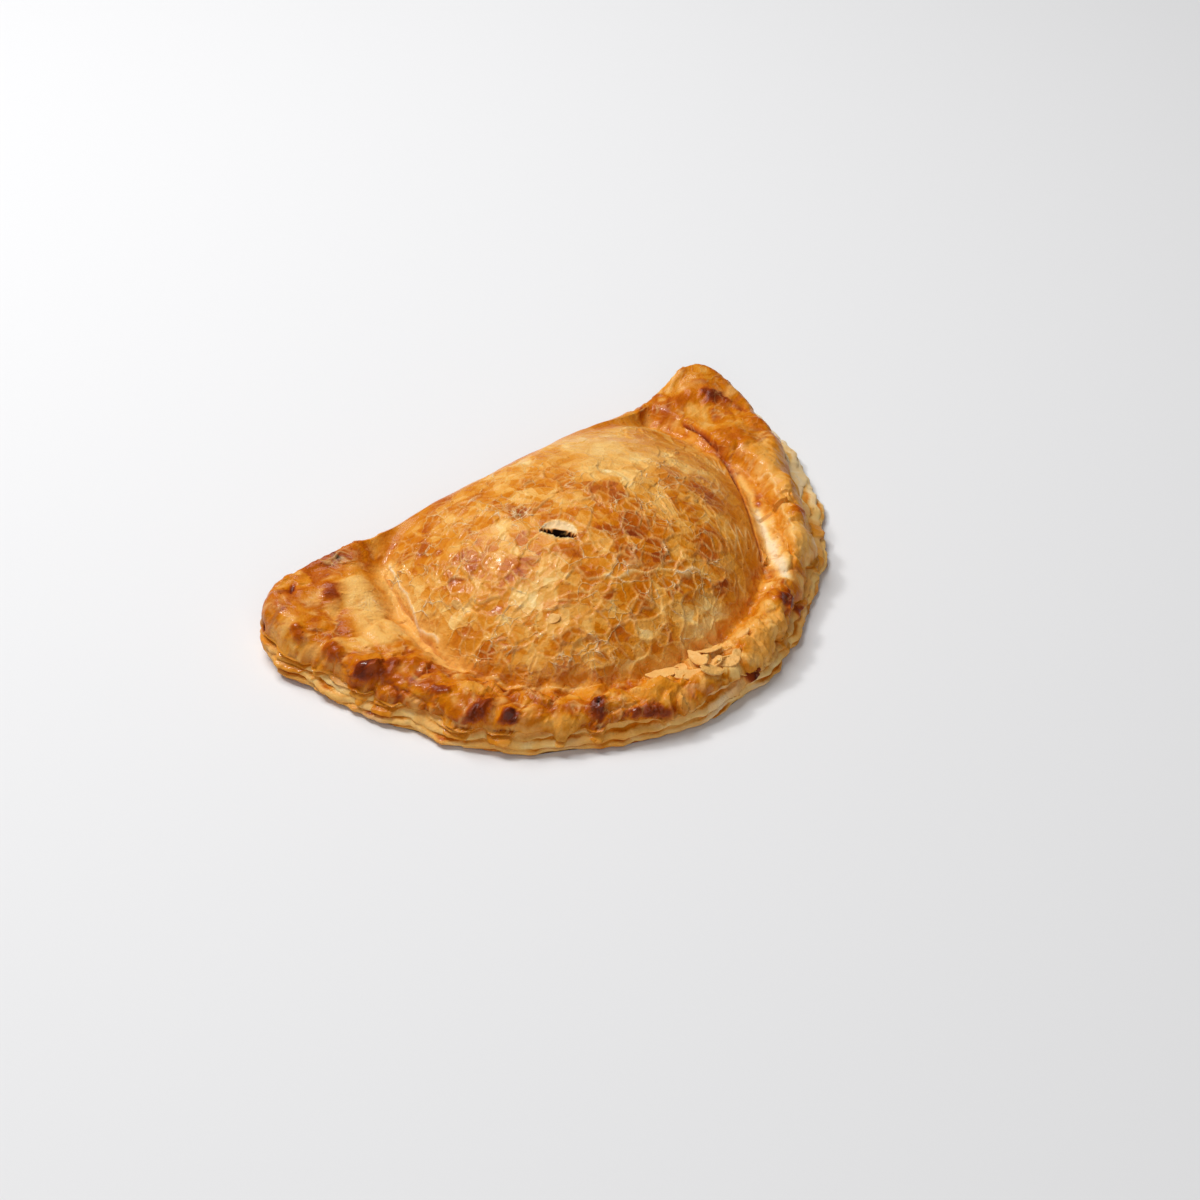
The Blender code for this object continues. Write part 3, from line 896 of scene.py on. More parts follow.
class Effects:
    """Effects that more than one finish uses, each a node group built once."""

    def __init__(self) -> None:
        """Builds the groups."""
        self.mottle = self._mottle()
        self.crumb = self._crumb()
        self.oven = self._oven()
        self.crackle = self._crackle()

    @staticmethod
    def _mottle() -> bpy.types.NodeTree:
        """Cloudy unevenness of the bake, from -1 to 1 times its strength."""
        group = Group("oven_mottle", {"Scale": 90.0, "Strength": 1.0}, ("Value",))
        cloud = group.noise(group.place(), group.entry["Scale"], 5.0, 0.62)["Fac"]
        centred = group.math("SUBTRACT", cloud, 0.5)
        return group.close(Value=group.math("MULTIPLY", centred, group.entry["Strength"]))

    @staticmethod
    def _crumb() -> bpy.types.NodeTree:
        """Fine crumb: a height for a bump, and a mask of pinholes."""
        group = Group("pastry_crumb", {"Scale": 1.0}, ("Height", "Pinholes"))
        place = group.vector("SCALE", {0: group.place(), "Scale": group.entry["Scale"]})
        fine = group.noise(place, 1500.0, 3.0)["Fac"]
        coarse = group.noise(place, 520.0, 3.0)["Fac"]
        holes = group.add("TexVoronoi", {"Vector": place, "Scale": 330.0})["Distance"]
        pricked = group.span(holes, 0.05, 0.12, 1.0, 0.0)
        height = group.math("SUBTRACT", group.math("ADD", fine, coarse), pricked)
        return group.close(Height=height, Pinholes=pricked)

    @staticmethod
    def _crackle() -> bpy.types.NodeTree:
        """Crackled glaze: pale lines between small angular flakes, and a tone for each flake."""
        group = Group("glaze_crackle", {"Scale": 300.0, "Width": 0.05}, ("Line", "Tone"))
        place, scale = group.place(), group.entry["Scale"]
        bend = group.noise(place, 420.0, 3.0)["Color"]
        centred = group.vector("SUBTRACT", {0: bend, 1: (0.5, 0.5, 0.5)})
        sway = group.vector("SCALE", {0: centred, "Scale": 0.0020})
        cells = {"Vector": group.vector("ADD", {0: place, 1: sway}), "Scale": scale}
        away = group.add("TexVoronoi", cells, feature="DISTANCE_TO_EDGE")["Distance"]
        thin = group.span(away, 0.0, group.entry["Width"], 1.0, 0.0)
        fade = group.noise(place, group.math("MULTIPLY", scale, 0.7), 2.0)["Fac"]
        kept = group.span(fade, 0.48, 0.64, 0.0, 1.0)
        owner = group.add("TexVoronoi", cells)["Color"]
        chance = group.add("SeparateColor", {"Color": owner})["Red"]
        line, tone = group.math("MULTIPLY", thin, kept), group.math("SUBTRACT", chance, 0.5)
        return group.close(Line=line, Tone=tone)

    @staticmethod
    def _oven() -> bpy.types.NodeTree:
        """Colour of pastry from how far it is baked, how blushed and how pale it is; the darkest bakes also
        serve as painted shade.
        """
        group = Group("oven_colour", {"Bake": 0.4, "Red": 0.0, "Pale": 0.0}, ("Color",))
        pale = group.entry["Pale"]
        baked = group.scale(group.entry["Bake"], BAKE_AND_SHADE_COLOURS)
        blushed = group.mix(group.entry["Red"], baked, linear(*BLUSH))
        return group.close(Color=group.mix(pale, blushed, group.scale(pale, PALE_COLOURS)))


def new_material(name: str) -> tuple[bpy.types.Material, Wiring, bpy.types.Node]:
    """Makes a material, and gives it with its wiring and its shader."""
    material = bpy.data.materials.new(name)
    material.use_nodes = True
    return material, Wiring(material.node_tree), material.node_tree.nodes["Principled BSDF"]


@dataclass(frozen=True)
class CrustFinish:
    """Egg-glazed crust, which reads its masks from the mesh."""

    name: str = "glazed_crust"
    glaze_roughness: float = 0.24
    dry_roughness: float = 0.62
    coat: float = 0.20
    coat_roughness: float = 0.10
    shine: float = 0.05
    glow: float = 0.10
    glow_depth: float = 0.0014
    glow_spread: tuple[float, float, float] = (1.0, 0.6, 0.3)
    mottle_scale: float = 260.0
    mottle: float = 0.17
    pinholes: float = 0.05
    crackles: tuple[tuple[float, float], ...] = ((118.0, 0.28), (250.0, 0.20))  # scale, width in mm
    flake_tone: float = 0.20
    line_cream: float = 0.60
    line_height: float = 0.9
    flake_height: float = 1.5
    bump: float = 0.00028
    bump_strength: float = 0.8

    def build(self, effects: Effects) -> bpy.types.Material:
        """Builds the material.

        Args:
            effects: the shared node groups.

        Returns:
            The material.
        """
        material, wiring, shader = new_material(self.name)
        masks = {name: wiring.add("Attribute", {}, attribute_name=name)["Fac"] for name in PLAIN_MASKS}
        lines, tones = self._crackle(wiring, effects)
        net = wiring.math("MULTIPLY", lines, masks["flaky"])
        crumb = wiring.add("Group", {}, node_tree=effects.crumb)
        cloud = wiring.add(
            "Group", {"Scale": self.mottle_scale, "Strength": self.mottle}, node_tree=effects.mottle
        )["Value"]
        bake = wiring.math("ADD", masks["bake"], cloud)
        pricked = wiring.math("MULTIPLY_ADD", crumb["Pinholes"], self.pinholes, bake)
        flake = wiring.math("MULTIPLY", tones, self.flake_tone)
        toned = wiring.math("MULTIPLY_ADD", flake, masks["flaky"], pricked)
        cream = wiring.math("MULTIPLY_ADD", net, self.line_cream, masks["pale"], clamp=True)
        colour = wiring.add(
            "Group", {"Bake": toned, "Red": masks["red"], "Pale": cream}, node_tree=effects.oven
        )["Color"]
        height = wiring.math("MULTIPLY_ADD", net, self.line_height, crumb["Height"])
        raised = wiring.math("MULTIPLY_ADD", toned, self.flake_height, height)
        wiring.feed(shader, {
            "Base Color": colour,
            "Roughness": wiring.span(masks["glaze"], 0.0, 1.0, self.dry_roughness, self.glaze_roughness),
            "Coat Weight": wiring.math("MULTIPLY", masks["glaze"], self.coat),
            "Coat Roughness": self.coat_roughness,
            "Specular IOR Level": self.shine,
            "Subsurface Weight": self.glow,
            "Subsurface Radius": self.glow_spread,
            "Subsurface Scale": self.glow_depth,
            "Normal": wiring.add("Bump", {
                "Strength": self.bump_strength, "Distance": self.bump, "Height": raised,
            })["Normal"],
        })
        return material

    def _crackle(self, wiring: Wiring, effects: Effects) -> tuple[bpy.types.NodeSocket, ...]:
        """Lays one crackle over the other: their lines, and the sum of their tones."""
        coarse, fine = (
            wiring.add("Group", {"Scale": scale, "Width": width * scale * MM}, node_tree=effects.crackle)
            for scale, width in self.crackles
        )
        lines = wiring.math("MAXIMUM", coarse["Line"], fine["Line"])
        return lines, wiring.math("ADD", coarse["Tone"], fine["Tone"])


@dataclass(frozen=True)
class ChipFinish:
    """Dry pastry with one bake all over, mottled."""

    name: str = "dry_pastry"
    bake: float = 0.24
    mottle_scale: float = 420.0
    mottle: float = 0.2
    roughness: float = 0.6
    bump: float = 0.0003

    def build(self, effects: Effects) -> bpy.types.Material:
        """Builds the material from the shared node groups."""
        material, wiring, shader = new_material(self.name)
        cloud = wiring.add(
            "Group", {"Scale": self.mottle_scale, "Strength": self.mottle}, node_tree=effects.mottle
        )["Value"]
        bake = wiring.math("ADD", cloud, self.bake)
        crumb = wiring.add("Group", {}, node_tree=effects.crumb)["Height"]
        wiring.feed(shader, {
            "Base Color": wiring.add("Group", {"Bake": bake}, node_tree=effects.oven)["Color"],
            "Roughness": self.roughness,
            "Normal": wiring.add("Bump", {"Distance": self.bump, "Height": crumb})["Normal"],
        })
        return material


@dataclass(frozen=True)
class FloorFinish:
    """Plain pale matte floor."""

    name: str = "pale_floor"
    colour: tuple[int, int, int] = (227, 227, 228)
    roughness: float = 0.9

    def build(self) -> bpy.types.Material:
        """Builds the material."""
        material, wiring, shader = new_material(self.name)
        wiring.feed(shader, {"Base Color": linear(*self.colour), "Roughness": self.roughness})
        return material


# ---------------------------------------------------------------------------------------------
# The crust
# ---------------------------------------------------------------------------------------------


def deselect() -> None:
    """Leaves edit mode and selects nothing."""
    if bpy.context.object and bpy.context.object.mode != "OBJECT":
        bpy.ops.object.mode_set(mode="OBJECT")
    bpy.ops.object.select_all(action="DESELECT")


def edit_alone(piece: bpy.types.Object) -> None:
    """Opens one piece in edit mode, with nothing selected."""
    deselect()
    bpy.context.view_layer.objects.active = piece
    bpy.ops.object.mode_set(mode="EDIT")
    bpy.ops.mesh.select_all(action="DESELECT")


def flat_grid(name: str, columns: int, rows: int) -> bpy.types.Object:
    """A named flat grid that reaches from -1 to 1 both ways."""
    deselect()
    bpy.ops.mesh.primitive_grid_add(x_subdivisions=columns, y_subdivisions=rows, size=2)
    made = bpy.context.object
    made.name = made.data.name = name
    return made


def rows_of(items: bpy.types.bpy_prop_collection, label: str, kind: type = float) -> np.ndarray:
    """One value of every item, which has three parts, as a row for each."""
    flat = np.empty(len(items) * 3, kind)
    items.foreach_get(label, flat)
    return flat.reshape(-1, 3)


def corners(mesh: bpy.types.Mesh) -> np.ndarray:
    """Vertex places of a mesh, one row each."""
    return rows_of(mesh.vertices, "co")


def triangles(mesh: bpy.types.Mesh) -> np.ndarray:
    """The mesh's triangles as rows of three vertex numbers."""
    mesh.calc_loop_triangles()
    return rows_of(mesh.loop_triangles, "vertices", np.int64)


def vertex_normals(places: np.ndarray, faces: np.ndarray) -> np.ndarray:
    """Outward direction at each vertex, from the faces round it."""
    a, b, c = (places[faces[:, k]] for k in range(3))
    face = np.cross(b - a, c - a)
    total = np.zeros_like(places)
    for corner in range(3):
        for axis in range(3):
            total[:, axis] += np.bincount(faces[:, corner], face[:, axis], len(places))
    return total / np.maximum(np.linalg.norm(total, axis=1), 1e-12)[:, None]


@dataclass
class Crust:
    """The pastry skin, made as a lid and a border that meet in one unbroken surface."""

    form: PastyForm
    side: int = 292          # faces along one side of the lid's grid
    rim_rings: int = 40      # rings from the lid's edge to the lip
    side_rings: int = 38     # rings from the lip down to the foot
    under_rings: int = 3
    under_step: float = 0.05 # share of the way to the underside's middle for each of its rings
    hidden_rings: int = 2    # rings of the border that lie under the lid
    floor_z: float = 2.0     # height of the border's hidden floor
    floor_share: float = 0.97
    lid_floor_z: float = 3.0 # height of the lid's hidden floor
    lid_floor_share: float = 0.99
    hidden_below: float = 3.5    # lower and nearer to the middle than this is hidden
    hidden_within: float = 40.0
    seed: int = 7

    places: np.ndarray = field(default_factory=lambda: np.empty(0))
    normals: np.ndarray = field(default_factory=lambda: np.empty(0))
    masks: dict[str, np.ndarray] = field(default_factory=dict)

    def build(self, finish: bpy.types.Material) -> list[bpy.types.Object]:
        """Builds, shapes and dresses the lid and the border.

        Args:
            finish: the crust's material.

        Returns:
            The two finished pieces.
        """
        lid, lid_along, lid_run, lid_edge = self._lid_start()
        border, ring, place = self._border_start()
        border_along, border_run = self._border_run()
        count = len(lid_along)
        joined = count + ring * self.stations + place
        seam = ring == self.hidden_rings
        joined[seam] = lid_edge[place[seam]]
        along = np.concatenate((lid_along, border_along))
        run = np.concatenate((lid_run, border_run))
        strip = triangles(border.data)
        seen = ring[strip].min(1) >= self.hidden_rings
        faces = np.concatenate((triangles(lid.data), joined[strip[seen]]))
        shape = CrustShape(self.form, along, run, faces, self.seed)
        shape.model()
        self.places, self.normals, self.masks = shape.places, shape.normals, shape.masks
        self._dress(lid, np.arange(count), finish)
        self._close_lid(lid)
        self._dress(border, joined, finish)
        self._close_border(border, ring, place)
        for piece in (lid, border):
            self._shade(piece)
        return [lid, border]

    def spot(self, x: float, y: float) -> tuple[np.ndarray, np.ndarray]:
        """Place and outward direction of the crust at a spot seen from above, in millimetres."""
        top = np.flatnonzero(self.normals[:, 2] > 0.2)
        away = np.hypot(self.places[top, 0] - x, self.places[top, 1] - y)
        near = top[np.argsort(away)[:24]]
        up = self.normals[near].mean(0)
        return np.array((x, y, self.places[near[:4], 2].mean())), up / np.linalg.norm(up)

    @property
    def stations(self) -> int:
        """Steps round the parcel."""
        return 4 * self.side

    def _lid_start(self) -> tuple[bpy.types.Object, np.ndarray, np.ndarray, np.ndarray]:
        """A flat grid, with each vertex's place on the form and the order of its edge."""
        lid = flat_grid("crust_lid", self.side, self.side)
        x, y, _ = corners(lid.data).T
        ring = np.maximum(np.abs(x), np.abs(y))
        held = np.maximum(ring, HAIR / 1000)
        sx, sy = x / held, y / held
        near = 1 - HAIR
        way = np.select(
            [(sy >= near) & (sx <= 0), sx <= -near, sy <= -near, sx >= near],
            [-sx, 2 - sy, 4 + sx, 6 + sy],
            8 - sx,
        )
        along = np.where(ring < HAIR, 0.0, way / 8) % 1.0
        seam = self.form.seam_share(along)
        run = seam * (0.62 * ring + 0.38 * np.sin(0.5 * math.pi * ring))
        edge = np.flatnonzero(ring > near)
        order = np.round(along[edge] * self.stations).astype(int) % self.stations
        in_order = np.empty(self.stations, np.int64)
        in_order[order] = edge
        return lid, along, run, in_order

    @property
    def rings(self) -> int:
        """Rings of the border, from its hidden floor to the middle of the underside."""
        return self.hidden_rings + self.rim_rings + self.side_rings + self.under_rings + 1

    def _border_start(self) -> tuple[bpy.types.Object, np.ndarray, np.ndarray]:
        """A flat strip to be bent round, with each vertex's ring and station."""
        border = flat_grid("crust_border", self.stations, self.rings)
        x, y, _ = corners(border.data).T
        ring = np.round((1 - y) / 2 * self.rings).astype(int)
        place = np.round((1 + x) / 2 * self.stations).astype(int) % self.stations
        place[(ring == 0) | (ring == self.rings)] = 0
        return border, ring, place

    def _border_run(self) -> tuple[np.ndarray, np.ndarray]:
        """Place on the form of every ring and station of the border."""
        ring = np.repeat(np.arange(self.rings + 1), self.stations)
        along = np.tile(np.arange(self.stations), self.rings + 1) / self.stations
        seam = self.form.seam_share(along)
        out = (ring - self.hidden_rings) / self.rim_rings
        top = seam + (1 - seam) * (0.45 * out + 0.55 * np.sin(0.5 * math.pi * np.clip(out, 0, 1)))
        down = (ring - self.hidden_rings - self.rim_rings) / self.side_rings
        under = 2 + np.maximum(down - 1, 0) * self.side_rings * self.under_step
        run = np.select([out <= 1, down <= 1], [top, 1 + down], under)
        return along, np.where(ring == self.rings, 3.0, run)

    def _dress(self, piece: bpy.types.Object, rows: np.ndarray, finish: bpy.types.Material) -> None:
        """Moves a piece's vertices onto the crust and gives it its masks and finish."""
        mesh = piece.data
        mesh.vertices.foreach_set("co", (self.places[rows] * MM).ravel())
        aim = mesh.attributes.new("aim", "FLOAT_VECTOR", "POINT")
        aim.data.foreach_set("vector", self.normals[rows].ravel())
        for name, values in self.masks.items():
            layer = mesh.attributes.new(name, "FLOAT", "POINT")
            layer.data.foreach_set("value", values[rows].astype(np.float32))
        mesh.materials.append(finish)
        mesh.shade_smooth()
        mesh.update()

    def _close_lid(self, lid: bpy.types.Object) -> None:
        """Closes the lid underneath, where the border hides it."""
        edit_alone(lid)
        bpy.ops.mesh.select_mode(type="EDGE")
        bpy.ops.mesh.select_non_manifold()
        bpy.ops.mesh.extrude_edges_move(TRANSFORM_OT_translate={"value": (0, 0, 0)})
        shrink = (self.lid_floor_share, self.lid_floor_share, 0.0)
        bpy.ops.transform.resize(value=shrink, center_override=(0, 0, self.lid_floor_z * MM))
        bpy.ops.mesh.edge_face_add()
        bpy.ops.object.mode_set(mode="OBJECT")

    def _close_border(self, border: bpy.types.Object, ring: np.ndarray, place: np.ndarray) -> None:
        """Lays the hidden rings under the lid as a floor, then welds the strip's ends and middles."""
        mesh = border.data
        now = corners(mesh)
        seam = ring == self.hidden_rings
        rim = np.empty((self.stations, 3))
        rim[place[seam]] = now[seam]
        inner = ring == 1
        shrink = (self.floor_share, self.floor_share, 0.0)
        now[inner] = rim[place[inner]] * shrink + (0, 0, self.floor_z * MM)
        now[ring == 0] = (self.form.dome_x * MM, self.form.dome_y * MM, self.floor_z * MM)
        mesh.vertices.foreach_set("co", now.ravel())
        mesh.update()
        edit_alone(border)
        bpy.ops.mesh.select_all(action="SELECT")
        bpy.ops.mesh.remove_doubles(threshold=0.0005 * MM)
        bpy.ops.object.mode_set(mode="OBJECT")

    def _shade(self, piece: bpy.types.Object) -> None:
        """Shades a piece with the directions of the whole crust, so that the seam doesn't show."""
        mesh = piece.data
        aim = rows_of(mesh.attributes["aim"].data, "vector")
        mesh.attributes.remove(mesh.attributes["aim"])
        plain = rows_of(mesh.vertices, "normal")
        x, y, z = corners(mesh).T / MM
        hidden = (z < self.hidden_below) & (np.hypot(x, y) < self.hidden_within)
        unset = (np.linalg.norm(aim, axis=1) < 0.5) | hidden
        mesh.normals_split_custom_set_from_vertices(np.where(unset[:, None], plain, aim))


@dataclass
class Chips:
    """Loose flakes of dry pastry that lie on the crust."""

    crust: Crust
    sides: int = 28
    rings: int = 14
    curl: float = 0.10       # rise of a chip's ends, as a share of its length
    ragged: float = 0.12     # unevenness of a chip's edge, as a share of its width
    waves: int = 8           # waves round its edge, from the second up to this one
    wrinkle: float = 0.22    # height of its wrinkles
    wrinkle_size: float = 1.6
    sink: float = 0.35       # share of its thickness that is pressed into the crust

    def build(self, finish: bpy.types.Material) -> bpy.types.Object:
        """Builds every chip and joins them into one piece.

        Args:
            finish: the chips' material.

        Returns:
            The piece.
        """
        made = [self._chip(number, chip) for number, chip in enumerate(CHIPS)]
        deselect()
        for chip in made:
            chip.select_set(True)
        bpy.context.view_layer.objects.active = made[0]
        bpy.ops.object.join()
        piece = bpy.context.object
        piece.name = piece.data.name = "pastry_chips"
        bpy.ops.object.transform_apply(location=True, rotation=True, scale=True)
        piece.data.materials.clear()
        piece.data.materials.append(finish)
        piece.data.shade_smooth()
        return piece

    def _chip(self, number: int, chip: Chip) -> bpy.types.Object:
        """One chip: a ball pressed flat, then given a ragged edge and a slight curl."""
        deselect()
        bpy.ops.mesh.primitive_uv_sphere_add(segments=self.sides, ring_count=self.rings, radius=1)
        made = bpy.context.object
        ball = corners(made.data)
        angle = np.arctan2(ball[:, 1], ball[:, 0])
        out = np.hypot(ball[:, 0], ball[:, 1]) ** 0.45
        edge = 1 + self.ragged * sum(
            math.sin(1.9 * number + 2.3 * k) * np.cos(k * angle + 5.1 * number + k) / k ** 0.5
            for k in range(2, self.waves)
        )
        u, v = out * edge * np.cos(angle), out * edge * np.sin(angle)
        w = np.sign(ball[:, 2]) * np.abs(ball[:, 2]) ** 0.6
        grain = Grain(50 + number)
        spots = np.stack((u, v, 0 * u), axis=1) * chip.width / 2
        uneven = self.wrinkle * grain.layers(spots, self.wrinkle_size, 2)
        flat = np.stack((
            u * chip.length / 2,
            v * chip.width / 2,
            w * chip.thick / 2 + uneven + self.curl * chip.length * u * u / 2,
        ), axis=1)
        place, up = self.crust.spot(chip.x, chip.y)
        turn, lean = math.radians(chip.turn), math.radians(chip.lean)
        across = Vector(up).cross(Vector((math.cos(turn), math.sin(turn), 0))).normalized()
        along = across.cross(Vector(up)).normalized()
        tipped = along * math.cos(lean) + Vector(up) * math.sin(lean)
        sides = np.array((tipped, across, tipped.cross(across)))
        middle = place + up * (0.5 - self.sink) * chip.thick
        made.data.vertices.foreach_set("co", ((flat @ sides + middle) * MM).ravel())
        made.data.update()
        return made


@dataclass(frozen=True)
class Relief:
    """Heights and sizes of the crust's unevenness, in millimetres."""

    swell: float = 0.55          # broad waves of dome and rim
    swell_size: float = 26.0
    wave: float = 0.22           # smaller waves of the dome
    wave_size: float = 9.0
    lump: float = 1.9            # the rim's lumps
    lump_size: float = 9.5
    lump_edge: float = 2.0
    bead: float = 0.60           # beads among the lumps
    bead_size: float = 4.4
    bead_edge: float = 0.9
    ripple: float = 0.20         # fine ripples of the rim
    ripple_size: float = 2.6
    crack: float = 0.25          # cracks of the rim's pale parts
    crack_size: float = 7.5
    crack_width: float = 0.24
    rim_sheets: tuple[tuple[float, float], ...] = ((9.0, 0.34), (5.0, 0.27))  # size, edge's width
    lip_reach: float = 2.4       # how far in from its edge the lip droops
    droop: float = 0.9
    sheet_pitch: float = 2.1     # from one pastry sheet of the side to the next
    sheet_nose: float = 1.1      # how far a sheet's rounded edge stands out
    sheet_half: float = 0.40     # half of a sheet's thickness, as a share of the pitch
    paler_front: tuple[tuple[float, float], ...] = ((0.420, 0.445), (0.505, 0.53))


@dataclass(frozen=True)
class SheetPattern:
    """Broad torn sheets of the dome's glaze."""

    size: float      # usual distance between two edges
    width: float     # width of an edge's pale line
    tall: float      # height of that line
    step: float      # thickness of the sheet
    tint: float      # how far its bake differs


@dataclass(frozen=True)
class FlakePattern:
    """Small flakes of the dome."""

    size: float      # usual distance between two middles
    width: float     # width of an edge's pale line
    kept: float      # share of the edges that show
    tall: float      # height of an edge's line
    slope: float     # rise across a flake
    tint: float      # how far a flake's bake differs


@dataclass
class GlazeMarks:
    """What the dome's flakes and sheets add at each of its vertices."""

    lift: np.ndarray
    line: np.ndarray     # how strongly a pale edge line shows
    bake: np.ndarray
    glaze: np.ndarray


GLAZE_SHEETS = (
    SheetPattern(20.0, 0.42, 0.20, 0.34, 0.045),
    SheetPattern(11.0, 0.38, 0.18, 0.28, 0.045),
)
DOME_FLAKES = (
    FlakePattern(7.5, 0.34, 0.80, 0.21, 0.32, 0.11),
    FlakePattern(4.6, 0.28, 0.55, 0.15, 0.24, 0.09),
)


class CrustShape:
    """Works out the crust's relief and masks over the smooth form."""

    def __init__(
        self, form: PastyForm, along: np.ndarray, run: np.ndarray, faces: np.ndarray, seed: int
    ) -> None:
        """Lays the smooth form and its zones.

        Args:
            form: the smooth form.
            along: each vertex's share of the way round.
            run: each vertex's place from the dome's middle to the underside.
            faces: triangles of the whole crust.
            seed: picks the pattern of flakes and lumps.
        """
        self.form = form
        self.along = along
        self.run = run
        self.faces = faces
        self.seed = seed
        self.grain = Grain(seed)
        self.relief = Relief()
        self.places = self._centred(form.skin(along, run))
        self.normals = vertex_normals(self.places, faces)
        self.base = self.places.copy()
        self.lift, self.rise, self.out = np.zeros((3, len(along)))
        x, y = (self.base[:, :2] - self.slide).T
        norm = form.crease_norm(x, y, form.back_power)
        down = ramp(run, 1.0, 1.02) * ramp(form.skirt_width(along), 0.0, 1.2)
        self.zones = {
            Zone.DOME: 1 - ramp(norm, 0.94, 1.03),
            Zone.SIDE: down * (run < 2),
            Zone.UNDER: (run >= 2).astype(float),
        }
        self.zones[Zone.RIM] = (1 - self.zones[Zone.DOME]) * (1 - self.zones[Zone.SIDE]) * (run < 2)
        self.masks = {name: np.full(len(along), value) for name, value in PLAIN_MASKS.items()}

    def _centred(self, places: np.ndarray) -> np.ndarray:
        """Slides the form so that its box is where the CAD solid's is."""
        low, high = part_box(SOLID)
        middle = np.array(((low.x + high.x) / 2, (low.y + high.y) / 2)) / MM
        ring = np.linspace(0, 1, 1000, endpoint=False)
        edge = self.form.outline(ring)[:, :2]
        self.slide = middle - (edge.max(0) + edge.min(0)) / 2
        return places + np.array((self.slide[0], self.slide[1], 0.0))

    def model(self) -> None:
        """Adds everything to the smooth form, from broad to fine."""
        self._broad_bake()
        self._lumps()
        self._flakes()
        self._layers()
        self._strokes()
        self._knobs()
        self._vent()
        self._settle()

    def _mark(
        self, mask: str, aim: np.ndarray | float, weight: np.ndarray, rows: np.ndarray | slice = slice(None)
    ) -> None:
        """Draws a mask towards a value, everywhere or on some vertices.

        Args:
            mask: its name.
            aim: the value.
            weight: how far it is drawn, held between 0 and 1.
            rows: the vertices.
        """
        values = self.masks[mask]
        values[rows] = blend_to(values[rows], aim, np.clip(weight, 0, 1))

    def _mark_above(self, mask: str, rows: np.ndarray | slice, values: np.ndarray) -> None:
        """Keeps the larger of a mask's old and new values on some vertices."""
        self.masks[mask][rows] = np.maximum(self.masks[mask][rows], values)

    def _broad_bake(self) -> None:
        """Broad patches of bake, glaze and blush."""
        wander = 3.0 * self.grain.push(self.base, 16)
        spots = self.base + wander
        total = np.full(len(spots), 0.25)
        bake = 0.46 * total
        red = np.zeros(len(spots))
        dry = np.zeros(len(spots))
        for patch in PATCHES:
            u, v = turned(spots, patch.x, patch.y, patch.turn)
            near = np.exp(-((u / patch.length) ** 2 + (v / patch.width) ** 2))
            weight = patch.strength * near
            bake += 2 * weight * patch.bake
            total += 2 * weight
            red = np.maximum(red, patch.red * near)
            dry = np.maximum(dry, patch.dry * near)
        self.masks["bake"] = bake / total + 0.05 * self.grain.layers(self.base, 11, 3)
        blotch = ramp(self.grain.layers(self.base + 9, 5, 3), -0.25, 0.7)
        self.masks["red"] = np.clip(0.75 * red * blotch, 0, 0.75)
        cloud = 0.7 + 0.5 * self.grain.layers(self.base + 27, 6, 3)
        self.masks["pale"] = np.clip(dry * cloud, 0, 1)
        self.masks["glaze"] = self.masks["glaze"] * (1 - 0.8 * np.clip(dry, 0, 1))

    def _lumps(self) -> None:
        """Waves of dome and rim, then the rim's lumps, with beads among them."""
        rim, dome, relief = self.zones[Zone.RIM], self.zones[Zone.DOME], self.relief
        self.lift += relief.swell * self.grain.layers(self.base + 40, relief.swell_size, 2) * (dome + rim)
        self.lift += relief.wave * self.grain.layers(self.base + 80, relief.wave_size, 2) * dome
        bent = self.base + 2.2 * self.grain.push(self.base, 8)
        lumps = FlakeNet.scatter(bent * (1, 1, 0.6), relief.lump_size, self.seed + 1)
        beads = FlakeNet.scatter(bent * (1, 1, 0.6), relief.bead_size, self.seed + 2)
        loud = self._loud_rim()
        busy = ramp(self.grain.at(self.base + 18, 11), -0.3, 0.35)
        round_lump = 1 - hill(lumps.edge, relief.lump_edge)
        round_bead = 1 - hill(beads.edge, relief.bead_edge)
        self.lift += relief.lump * rim * loud * (0.30 + 0.9 * toss(lumps.owner, 3.0)) * (round_lump - 0.55)
        tall = relief.bead * rim * loud * busy * (0.3 + toss(beads.owner, 4.0))
        self.lift += tall * (round_bead - 0.6)
        self.lift += relief.ripple * rim * self.grain.layers(bent + 15, relief.ripple_size, 2)
        hollow = 1 - ramp(lumps.edge, 0.2, 1.8)
        low = (1 - ramp(beads.edge, 0.1, 1.0)) * busy
        uneven = 0.22 * (toss(lumps.owner, 7.0) - 0.5) + 0.14 * (toss(beads.owner, 8.0) - 0.5)
        cloud = (0.05 + 0.12 * loud) * self.grain.layers(bent + 61, 5, 3)
        self._mark("bake", self.masks["bake"] + uneven + cloud + 0.09 * hollow + 0.08 * low, rim)
        self._rim_sheets(bent)
        dusty = ramp(self.grain.layers(bent + 77, 4.5, 3), -0.05, 0.7) * (1 - low)
        self._mark("pale", 0.32 * dusty, rim * (self.masks["bake"] < 0.60))
        self._mark("glaze", 0.45, 0.7 * rim * dusty)
        self._mark("flaky", 0.45 * busy, rim)
        self._mark("glaze", 0.55 + 0.5 * toss(beads.owner, 9.0), 0.6 * rim)

    def _loud_rim(self) -> np.ndarray:
        """How strong the rim's lumps are: weak by the fold, on the roll and on the -X side."""
        from_fold = np.minimum(self.along, 1 - self.along)
        loud = (1 - 0.85 * self.form.ledge_share(self.along)) * ramp(from_fold, 0.175, 0.225)
        return loud * (0.45 + 0.55 * ramp(self.along, 0.27, 0.36))

